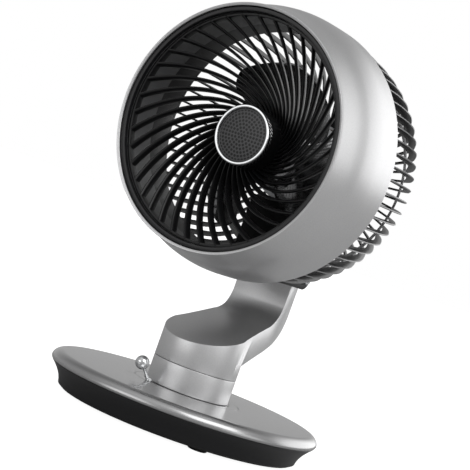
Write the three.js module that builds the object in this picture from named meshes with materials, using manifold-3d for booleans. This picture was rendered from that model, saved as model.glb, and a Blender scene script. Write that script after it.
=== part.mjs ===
// Table-top air circulator fan: a round weighted base, a swivelling S-shaped arm, and a tilting
// round head with a spiral front grille, a three-blade rotor and a finned rear cage.
// Millimetres, +Z up. Origin: the middle of the base on the table. The fan blows towards -Y.
import * as THREE from 'three';
import { mergeVertices } from 'three/addons/utils/BufferGeometryUtils.js';
import Module from 'manifold-3d';

const wasm = await Module();
wasm.setup();

// ---------- driving dimensions ----------
const gap = 0.3; // between pieces that touch
const fitGap = 0.4; // between a turning piece and what it turns in

// base
const footHeight = 2.2;
const footRadius = 8;
const footCount = 4;
const footInset = 14.8; // from the housing's foot edge to a foot's centre
const plateRadius = 115;
const plateEdgeRound = 9;
const housingInset = 0.6; // from the plate's edge to the housing's
const housingFlare = 11.6; // how far the housing widens upwards
const housingTop = 22.3;
const housingWall = 3;
const housingFloor = 2.5;
const plateTop = 31;
const plateThickness = 4;
const plateEdgeLow = 24;
const bossRadius = 4;
const bossCount = 4;
const screwRadius = 1.7;
const screwHeadRadius = 3.4;
const screwHeadHeight = 1.6;
const weightInner = 60;
const weightOuter = 71;
const bossClearance = 1;
const bossCircle = weightOuter + bossClearance + bossRadius;
const weightHeight = 13;

// neck and swing drive
const neckY = -1;
const neckRadius = 35.35;
const neckWall = 2.8;
const collarTop = 51.9;
const collarTopWall = 4;
const seam = 0.5;
const shaftRadius = 14;
const shaftWall = 3;
const bushWall = 2.6;
const bushBossWall = 3.6;
const washerHeight = 1.1;
const washerRadius = 18.6;
const shaftInArm = 9;
const gearModule = 1.5;
const gearTeeth = 36;
const pinionTeeth = 12;
const gearHeight = 4;
const gearTopGap = 1.6;
const toothShare = 0.8; // share of the half pitch that a tooth fills
const gearFacing = 90; // degrees at which a tooth of the gear meets the pinion
const meshClearance = 0.3;
const swingMotorRadius = 20.5;
const swingMotorHeight = 9.5;
const pinionShaftRadius = 2;

// arm
const armSideWidth = 35.7; // half width at the neck, before the neck's round trims it
const armTopWidth = 26.4; // half width at the tilt pivot
const armTaperRun = 55;
const neckFrontTop = 72.5;
const neckTopSlope = 0.353;
const armBendStart = 43;
const armFront = 60.3;
const armBack = 73;
const armUnderStart = 59.8;
const armUnderSlope = 0.404;
const armUnderBend = 50;
const armBendTop = 121;
const pocketInner = 20;
const pocketOuter = 31.5;
const pocketTop = 66;

// tilt pivot
const pivotY = 66.5;
const pivotZ = 150;
const barrelRadius = 9.5;
const pinRadius = 3;
const pinHeadRadius = 5.5;
const pinHeadHeight = 2.6;
const cheekThickness = 6;
const cheekGap = 0.6;
const cheekRadius = 10;

// head
const headZ = 242.2;
const ductRadius = 94.5;
const ductWall = 2;
const ductToLip = 4.2; // from the duct's outside to the shell's at the lip
const lipY = -81.3;
const lipRadius = ductRadius + ductWall + ductToLip;
const shellRearY = -1;
const shellFlare = 10.4; // how much wider the shell is at its rear edge than at its lip
const shellRearRadius = lipRadius + shellFlare;
const shellWall = 2.4;
const ductFrontY = -79;
const ductRearY = -15.5;
const ductFlange = 2.5;
const ductLip = lipRadius - shellWall;
const grilleRingWidth = 2.6;
const grilleRingDepth = 6;
const ribCount = 40;
const ribThickness = 2.6;
const ribLean = 1.7; // how far a rib's front edge trails its rear edge
const ribDepth = 7;
const ribSweep = 50; // degrees of turn for each e-fold of radius
const ribPhase = -4;
const dishRoot = -30.5;
const dishBelly = [42, -36];
const dishShoulder = [58, -55];
const dishRim = -73;
const hubRadius = 25;
const hubFrontY = -48.6;
const hubBackY = -27;
const hubRingWidth = 3;
const hubRingDepth = 6;
const capSink = 1.2;

// rotor
const bladeCount = 3;
const bladePhase = 119; // where the middle of the first blade's tip points
const bladeSweep = 40; // degrees that a blade's root trails its tip
const bladeTipWidth = 44; // degrees
const bladeRootWidth = 112; // degrees
const bladeTip = 77;
const bladeMiddleY = 7;
const bladeTipDepth = 24;
const bladeRootDepth = 40;
const bladeThickness = 2.4;
const rotorHubRadius = 30;
const rotorHubFront = -18;
const rotorHubRear = 26;
const rotorHubWall = 2.6;
const rotorShaftRadius = 2.5;
const rotorBoss = 6.5;
const spinnerRadius = 8;
const spinnerHeight = 6;

// motor
const motorRadius = 38;
const motorFront = 34;
const motorWall = 2.2;
const bearingRadius = 8;
const bearingHeight = 6;
const statorInner = 20;
const statorLength = 24;
const motorScrewCircle = 30;
const motorScrewCount = 3;

// rear cage
const finCount = 62;
const finThickness = 1.8;
const finDepth = 6.5;
const cageRadius = 108.1;
const cageStraightEnd = 27.6;
const cageBulge = 97.45;
const cageCornerY = 74;
const cageBackY = 88;
const cageBackRim = 78;
const cageRingWidth = 4.2;
const cageRingFront = -6;
const cageRingRear = 3;
const cageHoopGap = 0.9; // between the hoop and the fins' inner edges
const cageHoopWidth = 2.4;
const cageHoopY = 68;
const cageHoopLength = 6;
const backPlateRadius = 46;
const backPlateThickness = 5.5;
const coverRadius = 43;
const coverHeight = 5;
const coverWall = 2;

// head mount
const mountHalfWidth = cheekGap + armTopWidth + cheekThickness;
const mountPocketReach = mountHalfWidth + pinHeadHeight + 1.8;
const mountPocketLow = 100;
const mountPocketHigh = pivotZ + cheekRadius + 4;
const mountFront = cageRingRear + gap;
const mountRear = 52;
const mountWallThickness = 4; // the wall that rises from the bridge to the motor
const mountBottom = 140.2;
const mountTop = 148.6;

// selector lever
const selectorInner = 37;
const selectorOuter = 45;
const selectorDepth = 3;
const leverAngle = -109.5;
const leverCircle = 41.5;
const leverLean = 43;
const leverReach = 17.8; // from the foot's underside to the ball's centre
const leverFootRadius = 3;
const leverFootHeight = 2.2;
const leverStemRadius = 1.5;
const ballRadius = 5.8;
const selectorPegRadius = 2;
const selectorPegLength = 6;
const selectorTurn = [-35, 65]; // degrees that the peg's slot leaves on each side of the lever
const switchWidth = 9;
const switchHeight = 5;

// electronics
const boardLength = 26;
const boardDepth = 30;
const boardThickness = 1.6;
const boardStandoff = 3;
const boardToMotor = 6;
const chipSize = 10;
const chipHeight = 2;
const capacitorRadius = 4;
const capacitorHeight = 8;
const inletRadius = 5.5;
const inletZ = 12.5;
const inletLength = 12;
const inletBore = 3.2;
const inletBoreDepth = 8;
const inletSink = 1.5;
const lensRadius = 1.4;
const lensHeight = 1.6;

// ---------- materials ----------
const finish = (color, roughness, metalness) =>
  new THREE.MeshStandardMaterial({ color, roughness, metalness });
const silver = finish('#a9abad', 0.34, 0.9);
const silverGloss = finish('#8f9193', 0.18, 0.9);
const chrome = finish('#d8dadc', 0.06, 1);
const steel = finish('#8b8e91', 0.35, 1);
const blackPlastic = finish('#1b1c1d', 0.35, 0);
const blackGloss = finish('#0d0d0e', 0.2, 0);
const charcoal = finish('#3b3d3f', 0.45, 0);
const darkGrey = finish('#4b4d4f', 0.5, 0);
const rubber = finish('#161616', 0.9, 0);
const iron = finish('#55585a', 0.7, 0.8);
const copper = finish('#a8643c', 0.45, 0.8);
const board = finish('#1f5a35', 0.6, 0);
const brass = finish('#b08d4a', 0.4, 0.9);
const lens = finish('#301012', 0.15, 0);

// ---------- working tools ----------
const largeSides = 44;
const middleSides = 28;
const smallSides = 20;
const tinySides = 12;
const radians = THREE.MathUtils.degToRad;

function signedVolume(positions, index) {
  const a = new THREE.Vector3();
  const b = new THREE.Vector3();
  const c = new THREE.Vector3();
  let sum = 0;
  for (let i = 0; i < index.length; i += 3) {
    a.fromBufferAttribute(positions, index[i]);
    b.fromBufferAttribute(positions, index[i + 1]);
    c.fromBufferAttribute(positions, index[i + 2]);
    sum += a.dot(b.cross(c));
  }
  return sum / 6;
}

// A closed geometry becomes a solid that can be joined and cut, with its faces turned out.
function solid(geometry) {
  const bare = geometry.clone();
  bare.deleteAttribute('normal');
  bare.deleteAttribute('uv');
  const merged = mergeVertices(bare, 1e-4);
  const old = merged.index.array;
  const kept = [];
  for (let i = 0; i < old.length; i += 3) {
    const [a, b, c] = [old[i], old[i + 1], old[i + 2]];
    if (a !== b && b !== c && c !== a) kept.push(a, b, c);
  }
  const positions = merged.attributes.position;
  if (signedVolume(positions, kept) < 0) kept.reverse();
  return new wasm.Manifold(new wasm.Mesh({
    numProp: 3,
    vertProperties: new Float32Array(positions.array),
    triVerts: new Uint32Array(kept),
  }));
}

function geometryOf(shape) {
  const mesh = shape.getMesh();
  const geometry = new THREE.BufferGeometry();
  geometry.setAttribute('position', new THREE.BufferAttribute(mesh.vertProperties, 3));
  geometry.setIndex(new THREE.BufferAttribute(mesh.triVerts, 1));
  geometry.computeVertexNormals();
  return geometry;
}

const join = (first, ...rest) => rest.reduce((sum, next) => sum.add(next), first);

// A closed outline of [radius, height] points turned about the Z axis through (x, y).
function turned(outline, sides = middleSides, x = 0, y = 0) {
  const points = [...outline, outline[0]].map(([r, z]) => new THREE.Vector2(r, z));
  return solid(new THREE.LatheGeometry(points, sides).rotateX(Math.PI / 2).translate(x, y, 0));
}

// A closed outline of [radius, y] points turned about the head's axis, which lies along Y.
function turnedHead(outline, sides = middleSides) {
  const points = [...outline, outline[0]].map(([r, y]) => new THREE.Vector2(r, y));
  return solid(new THREE.LatheGeometry(points, sides).translate(0, 0, headZ));
}

const tube = (inner, outer, low, high) => [[inner, low], [outer, low], [outer, high], [inner, high]];
const rod = (radius, low, high) => tube(0, radius, low, high);

function block(x0, x1, y0, y1, z0, z1) {
  const box = new THREE.BoxGeometry(x1 - x0, y1 - y0, z1 - z0);
  return solid(box.translate((x0 + x1) / 2, (y0 + y1) / 2, (z0 + z1) / 2));
}

// A rod along X.
function crossRod(radius, x0, x1, y, z, sides = smallSides) {
  const cylinder = new THREE.CylinderGeometry(radius, radius, x1 - x0, sides);
  return solid(cylinder.rotateZ(Math.PI / 2).translate((x0 + x1) / 2, y, z));
}

// A flat outline of (x, y) points raised from low to high along Z.
function raised(shape, low, high, x = 0, y = 0, curveSegments = 12) {
  const options = { depth: high - low, bevelEnabled: false, curveSegments };
  return solid(new THREE.ExtrudeGeometry(shape, options).translate(x, y, low));
}

// A side outline of (y, z) points pushed out along X, its own Z running along X.
function sideways(shape, x0, x1, curveSegments = 8) {
  const options = { depth: x1 - x0, bevelEnabled: false, curveSegments };
  const geometry = new THREE.ExtrudeGeometry(shape, options).translate(0, 0, x0);
  const turn = new THREE.Matrix4().set(0, 0, 1, 0, 1, 0, 0, 0, 0, 1, 0, 0, 0, 0, 0, 1);
  return geometry.applyMatrix4(turn);
}

const onCircle = (radius, degrees, x = 0, y = 0) =>
  [x + radius * Math.cos(radians(degrees)), y + radius * Math.sin(radians(degrees))];

const model = new THREE.Group();

function add(name, material, shape) {
  const mesh = new THREE.Mesh(geometryOf(shape), material);
  mesh.name = name;
  model.add(mesh);
}

// ---------- base ----------
const floorLow = footHeight + gap;
const floorTop = floorLow + housingFloor;
const plateUnder = plateTop - plateThickness;
const housingTopRadius = plateRadius - housingInset;
const housingBottomRadius = housingTopRadius - housingFlare;

// The housing flares like a bell: slowly at the foot, quickly under the plate.
function housingRadiusAt(z) {
  const share = THREE.MathUtils.clamp((z - floorLow) / (housingTop - floorLow), 0, 1);
  return housingBottomRadius + housingFlare * share ** 1.9;
}

const plateSpot = (k) => onCircle(bossCircle, (360 / bossCount) * k);
const swingCentre = [0, neckY + (gearModule * (gearTeeth + pinionTeeth)) / 2 + meshClearance];
const gearHigh = plateUnder - gearTopGap;
const gearLow = gearHigh - gearHeight;

function baseHousing() {
  const levels = [0.12, 0.4, 0.7, 1].map((share) => THREE.MathUtils.lerp(floorLow, housingTop, share));
  const outside = levels.map((z) => [housingRadiusAt(z), z]);
  const inside = levels.slice(1).map((z) => [housingRadiusAt(z) - housingWall, z]).reverse();
  let shell = turned([
    [0, floorLow], [housingBottomRadius - 3, floorLow], ...outside, ...inside,
    [housingRadiusAt(floorTop) - housingWall, floorTop], [0, floorTop],
  ], largeSides);
  for (let k = 0; k < bossCount; k++) {
    shell = shell.subtract(turned(rod(screwRadius + gap, 0, floorTop + 1), tinySides, ...plateSpot(k)));
  }
  const inletHole = new THREE.CylinderGeometry(
    inletRadius + gap, inletRadius + gap, 2 * inletLength, smallSides);
  return shell.subtract(solid(inletHole.translate(0, housingBottomRadius, inletZ)));
}

function slotAround(low, high) {
  const shape = new THREE.Shape();
  const inner = leverCircle - selectorPegRadius - 1;
  const outer = leverCircle + selectorPegRadius + 1;
  const start = radians(leverAngle + selectorTurn[0] - 6);
  const end = radians(leverAngle + selectorTurn[1] + 6);
  shape.absarc(0, 0, outer, start, end, false);
  shape.absarc(0, 0, inner, end, start, true);
  return raised(shape, low, high, 0, neckY, 10);
}

function basePlate() {
  const skirtInner = plateRadius - 6;
  const edge = new THREE.EllipseCurve(
    plateRadius - plateEdgeRound, plateEdgeLow, plateEdgeRound, plateTop - plateEdgeLow, 0, Math.PI / 2);
  const bullnose = edge.getPoints(3).map((point) => [point.x, point.y]);
  let plate = turned([
    [0, plateUnder], [skirtInner, plateUnder], [skirtInner, housingTop + gap],
    [housingTopRadius, housingTop + gap], ...bullnose, [0, plateTop],
  ], largeSides);
  for (let k = 0; k < bossCount; k++) {
    const [x, y] = plateSpot(k);
    const post = turned(tube(screwRadius, bossRadius, floorTop + gap, plateUnder + 0.5), tinySides, x, y);
    plate = plate.add(post);
  }
  const shaftHole = turned(rod(shaftRadius + 1, plateUnder - 1, plateTop + 1), middleSides, 0, neckY);
  const groove = turned(
    tube(selectorInner - fitGap, selectorOuter + fitGap, plateTop - selectorDepth - gap, plateTop + 1),
    middleSides, 0, neckY);
  const lensHole = turned(rod(lensRadius + gap, plateUnder - 1, plateTop + 1), tinySides, ...lensSpot);
  return plate.subtract(shaftHole).subtract(groove)
    .subtract(slotAround(plateUnder - 1, plateTop)).subtract(lensHole);
}

const lensSpot = onCircle(selectorOuter + 6, -47, 0, neckY);
const indicatorLens = () => turned(rod(lensRadius, plateTop - lensHeight, plateTop), tinySides, ...lensSpot);

function baseFoot(k) {
  const [x, y] = onCircle(housingBottomRadius - footInset, (360 / footCount) * (k + 0.5));
  return turned([[0, 0], [footRadius - 0.8, 0], [footRadius, 0.8], [footRadius, footHeight],
    [0, footHeight]], smallSides, x, y);
}

function baseScrew(k) {
  const headTop = floorLow - gap;
  return turned([[0, headTop - screwHeadHeight], [screwHeadRadius, headTop - screwHeadHeight],
    [screwHeadRadius, headTop], [screwRadius - gap, headTop], [screwRadius - gap, plateUnder - 6],
    [0, plateUnder - 6]], tinySides, ...plateSpot(k));
}

const baseWeight = () =>
  turned(tube(weightInner, weightOuter, floorTop + gap, floorTop + gap + weightHeight), middleSides);

function powerInlet() {
  const end = housingRadiusAt(inletZ) - inletSink;
  const body = new THREE.CylinderGeometry(inletRadius, inletRadius, inletLength, smallSides);
  const bore = new THREE.CylinderGeometry(inletBore, inletBore, 2 * inletBoreDepth, tinySides);
  return solid(body.translate(0, end - inletLength / 2, inletZ))
    .subtract(solid(bore.translate(0, end, inletZ)));
}

function controlBoard() {
  const right = -swingMotorRadius - boardToMotor;
  const left = right - boardLength;
  const y = boardDepth / 3;
  const low = floorTop + gap;
  const slabLow = low + boardStandoff;
  const top = slabLow + boardThickness;
  const slab = block(left, right, y - boardDepth / 2, y + boardDepth / 2, slabLow, top);
  const legs = [left + boardStandoff, right - boardStandoff].flatMap((x) => [-1, 1].map((side) =>
    turned(rod(boardStandoff / 2, low, slabLow + boardThickness / 2), tinySides,
      x, y + side * (boardDepth / 2 - boardStandoff))));
  const chipLeft = left + boardStandoff;
  const chip = block(chipLeft, chipLeft + chipSize, y - chipSize / 2, y + chipSize / 2,
    top - boardThickness / 2, top + chipHeight);
  const capacitor = turned(rod(capacitorRadius, top - boardThickness / 2, top + capacitorHeight),
    tinySides, right - 2 * capacitorRadius, y + 1.5 * capacitorRadius);
  return join(slab, ...legs, chip, capacitor);
}

add('base_housing', blackPlastic, baseHousing());
add('base_plate', silverGloss, basePlate());
add('base_weight', iron, baseWeight());
add('power_inlet', blackPlastic, powerInlet());
add('control_board', board, controlBoard());
add('indicator_lens', lens, indicatorLens());
for (let k = 0; k < footCount; k++) add(`rubber_foot_${k + 1}`, rubber, baseFoot(k));
for (let k = 0; k < bossCount; k++) add(`base_screw_${k + 1}`, steel, baseScrew(k));

// ---------- neck collar and swing drive ----------
const bushOuter = shaftRadius + fitGap + bushWall;
const collarLow = plateTop + gap;
const washerLow = collarTop - washerHeight + gap + seam / 2;
const armLow = collarTop + seam;
const shaftTop = armLow + shaftInArm;

function neckCollar() {
  const bossOuter = bushOuter + gap + bushBossWall;
  const inner = neckRadius - neckWall;
  return turned([
    [bushOuter + gap, collarLow], [bossOuter, collarLow], [bossOuter, collarTop - collarTopWall],
    [inner, collarTop - collarTopWall], [inner, collarLow], [neckRadius, collarLow],
    [neckRadius, collarTop], [washerRadius + gap, collarTop], [washerRadius + gap, washerLow - gap],
    [bushOuter + gap, washerLow - gap],
  ], 36, 0, neckY);
}

const shaftBush = () => turned(
  tube(shaftRadius + fitGap, bushOuter, collarLow, washerLow - gap), middleSides, 0, neckY);
const swivelWasher = () => turned(
  tube(shaftRadius + fitGap, washerRadius, washerLow, washerLow + washerHeight - gap), middleSides, 0, neckY);
const swingShaft = () => turned(
  tube(shaftRadius - shaftWall, shaftRadius, gearLow, shaftTop), middleSides, 0, neckY);

function gearOutline(teeth, turn = 0) {
  const pitch = (gearModule * teeth) / 2;
  const tip = pitch + 0.85 * gearModule;
  const root = pitch - 1.15 * gearModule;
  const half = (90 / teeth) * toothShare;
  const shape = new THREE.Shape();
  for (let k = 0; k < teeth; k++) {
    const middle = turn + (360 / teeth) * k;
    const corners = [[root, -1.45], [tip, -0.5], [tip, 0.5], [root, 1.45]];
    corners.forEach(([radius, share], i) => {
      const [x, y] = onCircle(radius, middle + half * share);
      if (k + i === 0) shape.moveTo(x, y);
      else shape.lineTo(x, y);
    });
  }
  shape.closePath();
  return shape;
}

function swingGear() {
  const wheel = raised(gearOutline(gearTeeth, gearFacing), gearLow, gearHigh, 0, neckY);
  return wheel.subtract(turned(rod(shaftRadius + gap, gearLow - 1, gearHigh + 1), middleSides, 0, neckY));
}

function swingPinion() {
  const halfTooth = 180 / pinionTeeth;
  const wheel = raised(gearOutline(pinionTeeth, halfTooth - gearFacing), gearLow, gearHigh, ...swingCentre);
  const low = floorTop + gap + 3;
  return wheel.add(turned(rod(pinionShaftRadius, low, gearLow + 1), tinySides, ...swingCentre));
}

function swingMotor() {
  const low = floorTop + gap;
  const can = turned(rod(swingMotorRadius, low, low + swingMotorHeight), middleSides, ...swingCentre);
  const bore = turned(rod(pinionShaftRadius + gap, low + 2, gearLow), tinySides, ...swingCentre);
  return can.subtract(bore);
}

add('neck_collar', silver, neckCollar());
add('shaft_bush', brass, shaftBush());
add('swing_motor', steel, swingMotor());
add('swing_pinion', brass, swingPinion());
add('swivel_washer', brass, swivelWasher());
add('swing_shaft', steel, swingShaft());
add('swing_gear', blackPlastic, swingGear());

// ---------- selector ring with its ball lever ----------
function selectorRing() {
  const low = plateTop - selectorDepth;
  const ring = turned(tube(selectorInner, selectorOuter, low, plateTop), middleSides, 0, neckY);
  const spot = onCircle(leverCircle, leverAngle, 0, neckY);
  const pegLow = low - selectorPegLength;
  return ring.add(turned(rod(selectorPegRadius, pegLow, low + 1), tinySides, ...spot));
}

// The lever: a round foot on the ring, a stem that leans outwards, and a ball.
function selectorLever() {
  const [x, y] = onCircle(leverCircle, leverAngle, 0, neckY);
  const low = plateTop + gap;
  const foot = turned(rod(leverFootRadius, low, low + leverFootHeight), smallSides, x, y);
  const stemStart = 2;
  const stemEnd = leverReach - ballRadius / 2;
  const outline = [[0, stemStart], [leverStemRadius + 0.5, stemStart], [leverStemRadius, stemStart + 3],
    [leverStemRadius, stemEnd], [0, stemEnd]];
  const points = [...outline, outline[0]].map(([r, h]) => new THREE.Vector2(r, h));
  const place = (geometry) => solid(geometry.rotateX(Math.PI / 2).rotateY(radians(leverLean))
    .rotateZ(radians(leverAngle)).translate(x, y, low));
  const stem = place(new THREE.LatheGeometry(points, tinySides));
  const ball = place(new THREE.SphereGeometry(ballRadius, 18, 10).translate(0, leverReach, 0));
  return join(foot, stem, ball);
}

function speedSwitch() {
  const [x, y] = onCircle(leverCircle, leverAngle, 0, neckY);
  const top = plateTop - selectorDepth - selectorPegLength - gap;
  const body = block(x - switchWidth, x + switchWidth, y - switchWidth / 2, y + switchWidth / 2,
    top - switchHeight, top);
  const post = block(x - 3, x + 3, y - 3, y + 3, floorTop + gap, top - switchHeight + 0.5);
  return body.add(post);
}

add('selector_ring', silverGloss, selectorRing());
add('selector_lever', chrome, selectorLever());
add('speed_switch', blackPlastic, speedSwitch());

// ---------- arm ----------
const neckTopAt = (y) => neckFrontTop + neckTopSlope * (y + neckRadius - neckY);

function armSide() {
  const shape = new THREE.Shape();
  const under = (y) => armUnderStart + armUnderSlope * y;
  shape.moveTo(-neckRadius - 3, armLow);
  shape.lineTo(-neckRadius - 3, neckTopAt(-neckRadius - 3));
  shape.lineTo(armBendStart, neckTopAt(armBendStart));
  shape.quadraticCurveTo(armFront - 1.8, neckTopAt(armFront - 6), armFront, armBendTop);
  shape.lineTo(armFront, pivotZ);
  shape.lineTo(armBack, pivotZ);
  shape.lineTo(armBack, armBendTop - 4);
  shape.quadraticCurveTo(armBack, under(armBack + 2), armUnderBend, under(armUnderBend));
  shape.lineTo(0, under(0));
  shape.lineTo(0, armLow);
  shape.closePath();
  return shape;
}

// The arm narrows from the neck's width to the tilt pivot's along its run back.
function armWidthAt(y) {
  const share = THREE.MathUtils.clamp(y / armTaperRun, 0, 1) ** 0.75;
  return THREE.MathUtils.lerp(armSideWidth, armTopWidth, share);
}

function arm() {
  const slab = sideways(armSide(), -1, 1);
  const spots = slab.attributes.position;
  for (let i = 0; i < spots.count; i++) spots.setX(i, spots.getX(i) * armWidthAt(spots.getY(i)));
  const plan = new THREE.Shape();
  plan.absarc(0, neckY, neckRadius, Math.PI, 2 * Math.PI, false);
  plan.lineTo(neckRadius, pivotY + armTopWidth);
  plan.lineTo(-neckRadius, pivotY + armTopWidth);
  plan.closePath();
  const trimmed = solid(slab).intersect(raised(plan, armLow - 1, pivotZ + 20, 0, 0, 20));
  const foot = turned(rod(neckRadius, armLow, armUnderStart + 6), 40, 0, neckY);
  const barrel = crossRod(barrelRadius, -armTopWidth, armTopWidth, pivotY, pivotZ, 28);
  const pocket = turned(tube(pocketInner, pocketOuter, armLow - 1, pocketTop), middleSides, 0, neckY);
  const shaftBore = turned(rod(shaftRadius + gap, armLow - 1, shaftTop + gap), middleSides, 0, neckY);
  const pinBore = crossRod(pinRadius + fitGap, -armTopWidth - 1, armTopWidth + 1, pivotY, pivotZ);
  return join(trimmed, foot, barrel).subtract(pocket).subtract(shaftBore).subtract(pinBore);
}

add('arm', silver, arm());

// ---------- head mount and tilt pin ----------
function headMount() {
  const bridge = block(-mountHalfWidth, mountHalfWidth, mountFront, mountRear, mountBottom, mountTop);
  const wall = block(-mountHalfWidth, mountHalfWidth, mountRear - mountWallThickness, mountRear,
    mountTop - 1, headZ - motorRadius - gap);
  const cheekShape = new THREE.Shape();
  cheekShape.moveTo(mountRear - 8, mountBottom);
  cheekShape.lineTo(pivotY, pivotZ - cheekRadius);
  cheekShape.absarc(pivotY, pivotZ, cheekRadius, -Math.PI / 2, Math.PI / 2, false);
  cheekShape.lineTo(mountRear - 8, pivotZ + cheekRadius);
  cheekShape.closePath();
  const inner = armTopWidth + cheekGap;
  const left = solid(sideways(cheekShape, -mountHalfWidth, -inner));
  const right = solid(sideways(cheekShape, inner, mountHalfWidth));
  const bore = crossRod(pinRadius + gap, -mountHalfWidth - 1, mountHalfWidth + 1, pivotY, pivotZ);
  return join(bridge, wall, left, right).subtract(bore);
}

function tiltPin() {
  const reach = mountHalfWidth + gap;
  const shank = crossRod(pinRadius, -reach, reach + 3, pivotY, pivotZ);
  return shank.add(crossRod(pinHeadRadius, -reach - pinHeadHeight, -reach, pivotY, pivotZ));
}

function tiltNut() {
  const low = mountHalfWidth + gap;
  const nut = crossRod(pinHeadRadius, low, low + pinHeadHeight + 0.4, pivotY, pivotZ, 6);
  return nut.subtract(crossRod(pinRadius + gap, low - 1, low + 5, pivotY, pivotZ));
}

add('head_mount', blackPlastic, headMount());
add('tilt_pin', steel, tiltPin());
add('tilt_nut', steel, tiltNut());

// ---------- head: shell, duct and front grille ----------
const shellSides = 52;

// The shell swells between its front lip and its rear edge: [share of the depth, swell].
const shellOuter = [[0, 0], [0.25, 1.6], [0.42, 3.6], [0.6, 4], [0.8, 2.4], [1, 0.3]].map(
  ([share, swell]) => [THREE.MathUtils.lerp(lipRadius, shellRearRadius, share) + swell,
    THREE.MathUtils.lerp(lipY, shellRearY, share)]);

function shell() {
  const inner = shellOuter.map(([r, y]) => [r - shellWall, y]).reverse();
  inner[inner.length - 1][1] += 0.8;
  return turnedHead([...shellOuter, ...inner], shellSides);
}

// The inside radius of the shell's flats at a height along the head's axis.
function shellInsideAt(y) {
  const next = shellOuter.findIndex((point) => point[1] >= y);
  const [a, b] = [shellOuter[next - 1], shellOuter[next]];
  const outside = THREE.MathUtils.mapLinear(y, a[1], b[1], a[0], b[0]);
  return (outside - shellWall) * Math.cos(Math.PI / shellSides);
}

function duct() {
  const outer = ductRadius + ductWall;
  const flangeReach = shellInsideAt(ductRearY - ductFlange) - gap;
  return turnedHead([
    [ductRadius, ductFrontY], [ductLip - 0.4, ductFrontY], [ductLip - 0.4, ductFrontY + 3],
    [outer, ductFrontY + 3], [outer, ductRearY - ductFlange], [flangeReach, ductRearY - ductFlange],
    [flangeReach, ductRearY], [ductRadius, ductRearY],
  ], largeSides);
}

const ribRim = ductRadius - gap - grilleRingWidth;

// The ribs' middle line: dished back from the rim to the hub.
const dish = new THREE.CubicBezierCurve(
  new THREE.Vector2(hubRadius, dishRoot), new THREE.Vector2(...dishBelly),
  new THREE.Vector2(...dishShoulder), new THREE.Vector2(ductRadius, dishRim));
const dishPoints = dish.getPoints(40);

function dishAt(radius) {
  const next = Math.max(1, dishPoints.findIndex((point) => point.x >= radius));
  const [a, b] = [dishPoints[next - 1], dishPoints[next]];
  return THREE.MathUtils.mapLinear(radius, a.x, b.x, a.y, b.y);
}

// The slots between two ribs follow a spiral, so the ribs lean the same way all the way out.
function ribSlot(phase) {
  const steps = 5;
  const inner = hubRadius + 0.5;
  const pitch = 360 / ribCount;
  const side = (start, sign) => {
    const points = [];
    for (let i = 0; i <= steps; i++) {
      const radius = inner * (ribRim / inner) ** (i / steps);
      const halfRib = THREE.MathUtils.radToDeg((ribThickness / 2) * Math.SQRT2 / radius);
      const angle = start + ribSweep * Math.log(radius / inner) + sign * halfRib;
      points.push(new THREE.Vector2(...onCircle(radius, angle)));
    }
    return points;
  };
  return new THREE.Path([...side(phase, 1), ...side(phase + pitch, -1).reverse()]);
}

// The ribs and their rim are one flat slotted ring, bent back onto the dish.
function slottedDish() {
  const outline = new THREE.Shape();
  outline.absarc(0, 0, ribRim + grilleRingWidth, 0, 2 * Math.PI, false);
  const middle = new THREE.Path();
  middle.absarc(0, 0, hubRadius - 1.4, 0, 2 * Math.PI, true);
  outline.holes.push(middle);
  for (let k = 0; k < ribCount; k++) outline.holes.push(ribSlot(ribPhase + (360 / ribCount) * k));
  const options = { depth: ribDepth, bevelEnabled: false, curveSegments: ribCount / 2 };
  const geometry = new THREE.ExtrudeGeometry(outline, options);
  geometry.translate(0, 0, -ribDepth / 2).rotateX(Math.PI / 2);
  const spots = geometry.attributes.position;
  for (let i = 0; i < spots.count; i++) {
    const [x, z] = [spots.getX(i), spots.getZ(i)];
    const [radius, front] = [Math.hypot(x, z), spots.getY(i) < 0 ? 1 : -1];
    const lean = Math.atan2(z, x) - (front * ribLean) / 2 / radius;
    spots.setXYZ(i, radius * Math.cos(lean),
      spots.getY(i) + dishAt(THREE.MathUtils.clamp(radius, hubRadius, ribRim)), radius * Math.sin(lean));
  }
  return solid(geometry.translate(0, 0, headZ));
}

function frontGrille() {
  const wall = 2.6;
  const drum = turnedHead([[0, hubFrontY], [hubRadius - 0.6, hubFrontY], [hubRadius, hubBackY],
    [hubRadius - wall + 0.6, hubBackY], [hubRadius - wall, hubFrontY + wall], [0, hubFrontY + wall]],
  ribCount);
  return slottedDish().add(drum);
}

const hubRingInner = hubRadius - hubRingWidth;

function hubRing() {
  const back = hubFrontY - gap;
  const front = back - hubRingDepth;
  return turnedHead([[hubRingInner, back], [hubRadius, back], [hubRadius, front + 1],
    [hubRadius - 0.8, front], [hubRingInner + 0.6, front], [hubRingInner, front + 1]]);
}

function hubCap() {
  const front = hubFrontY - gap - hubRingDepth + capSink;
  const edge = hubRingInner - gap;
  return turnedHead([[0, front - 0.8], [edge * 0.5, front - 0.5], [edge * 0.85, front],
    [edge, front + 0.6], [edge, hubFrontY - gap], [0, hubFrontY - gap]]);
}

add('shell', silver, shell());
add('duct', darkGrey, duct());
add('front_grille', blackGloss, frontGrille());
add('hub_ring', chrome, hubRing());
add('hub_cap', charcoal, hubCap());

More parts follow.
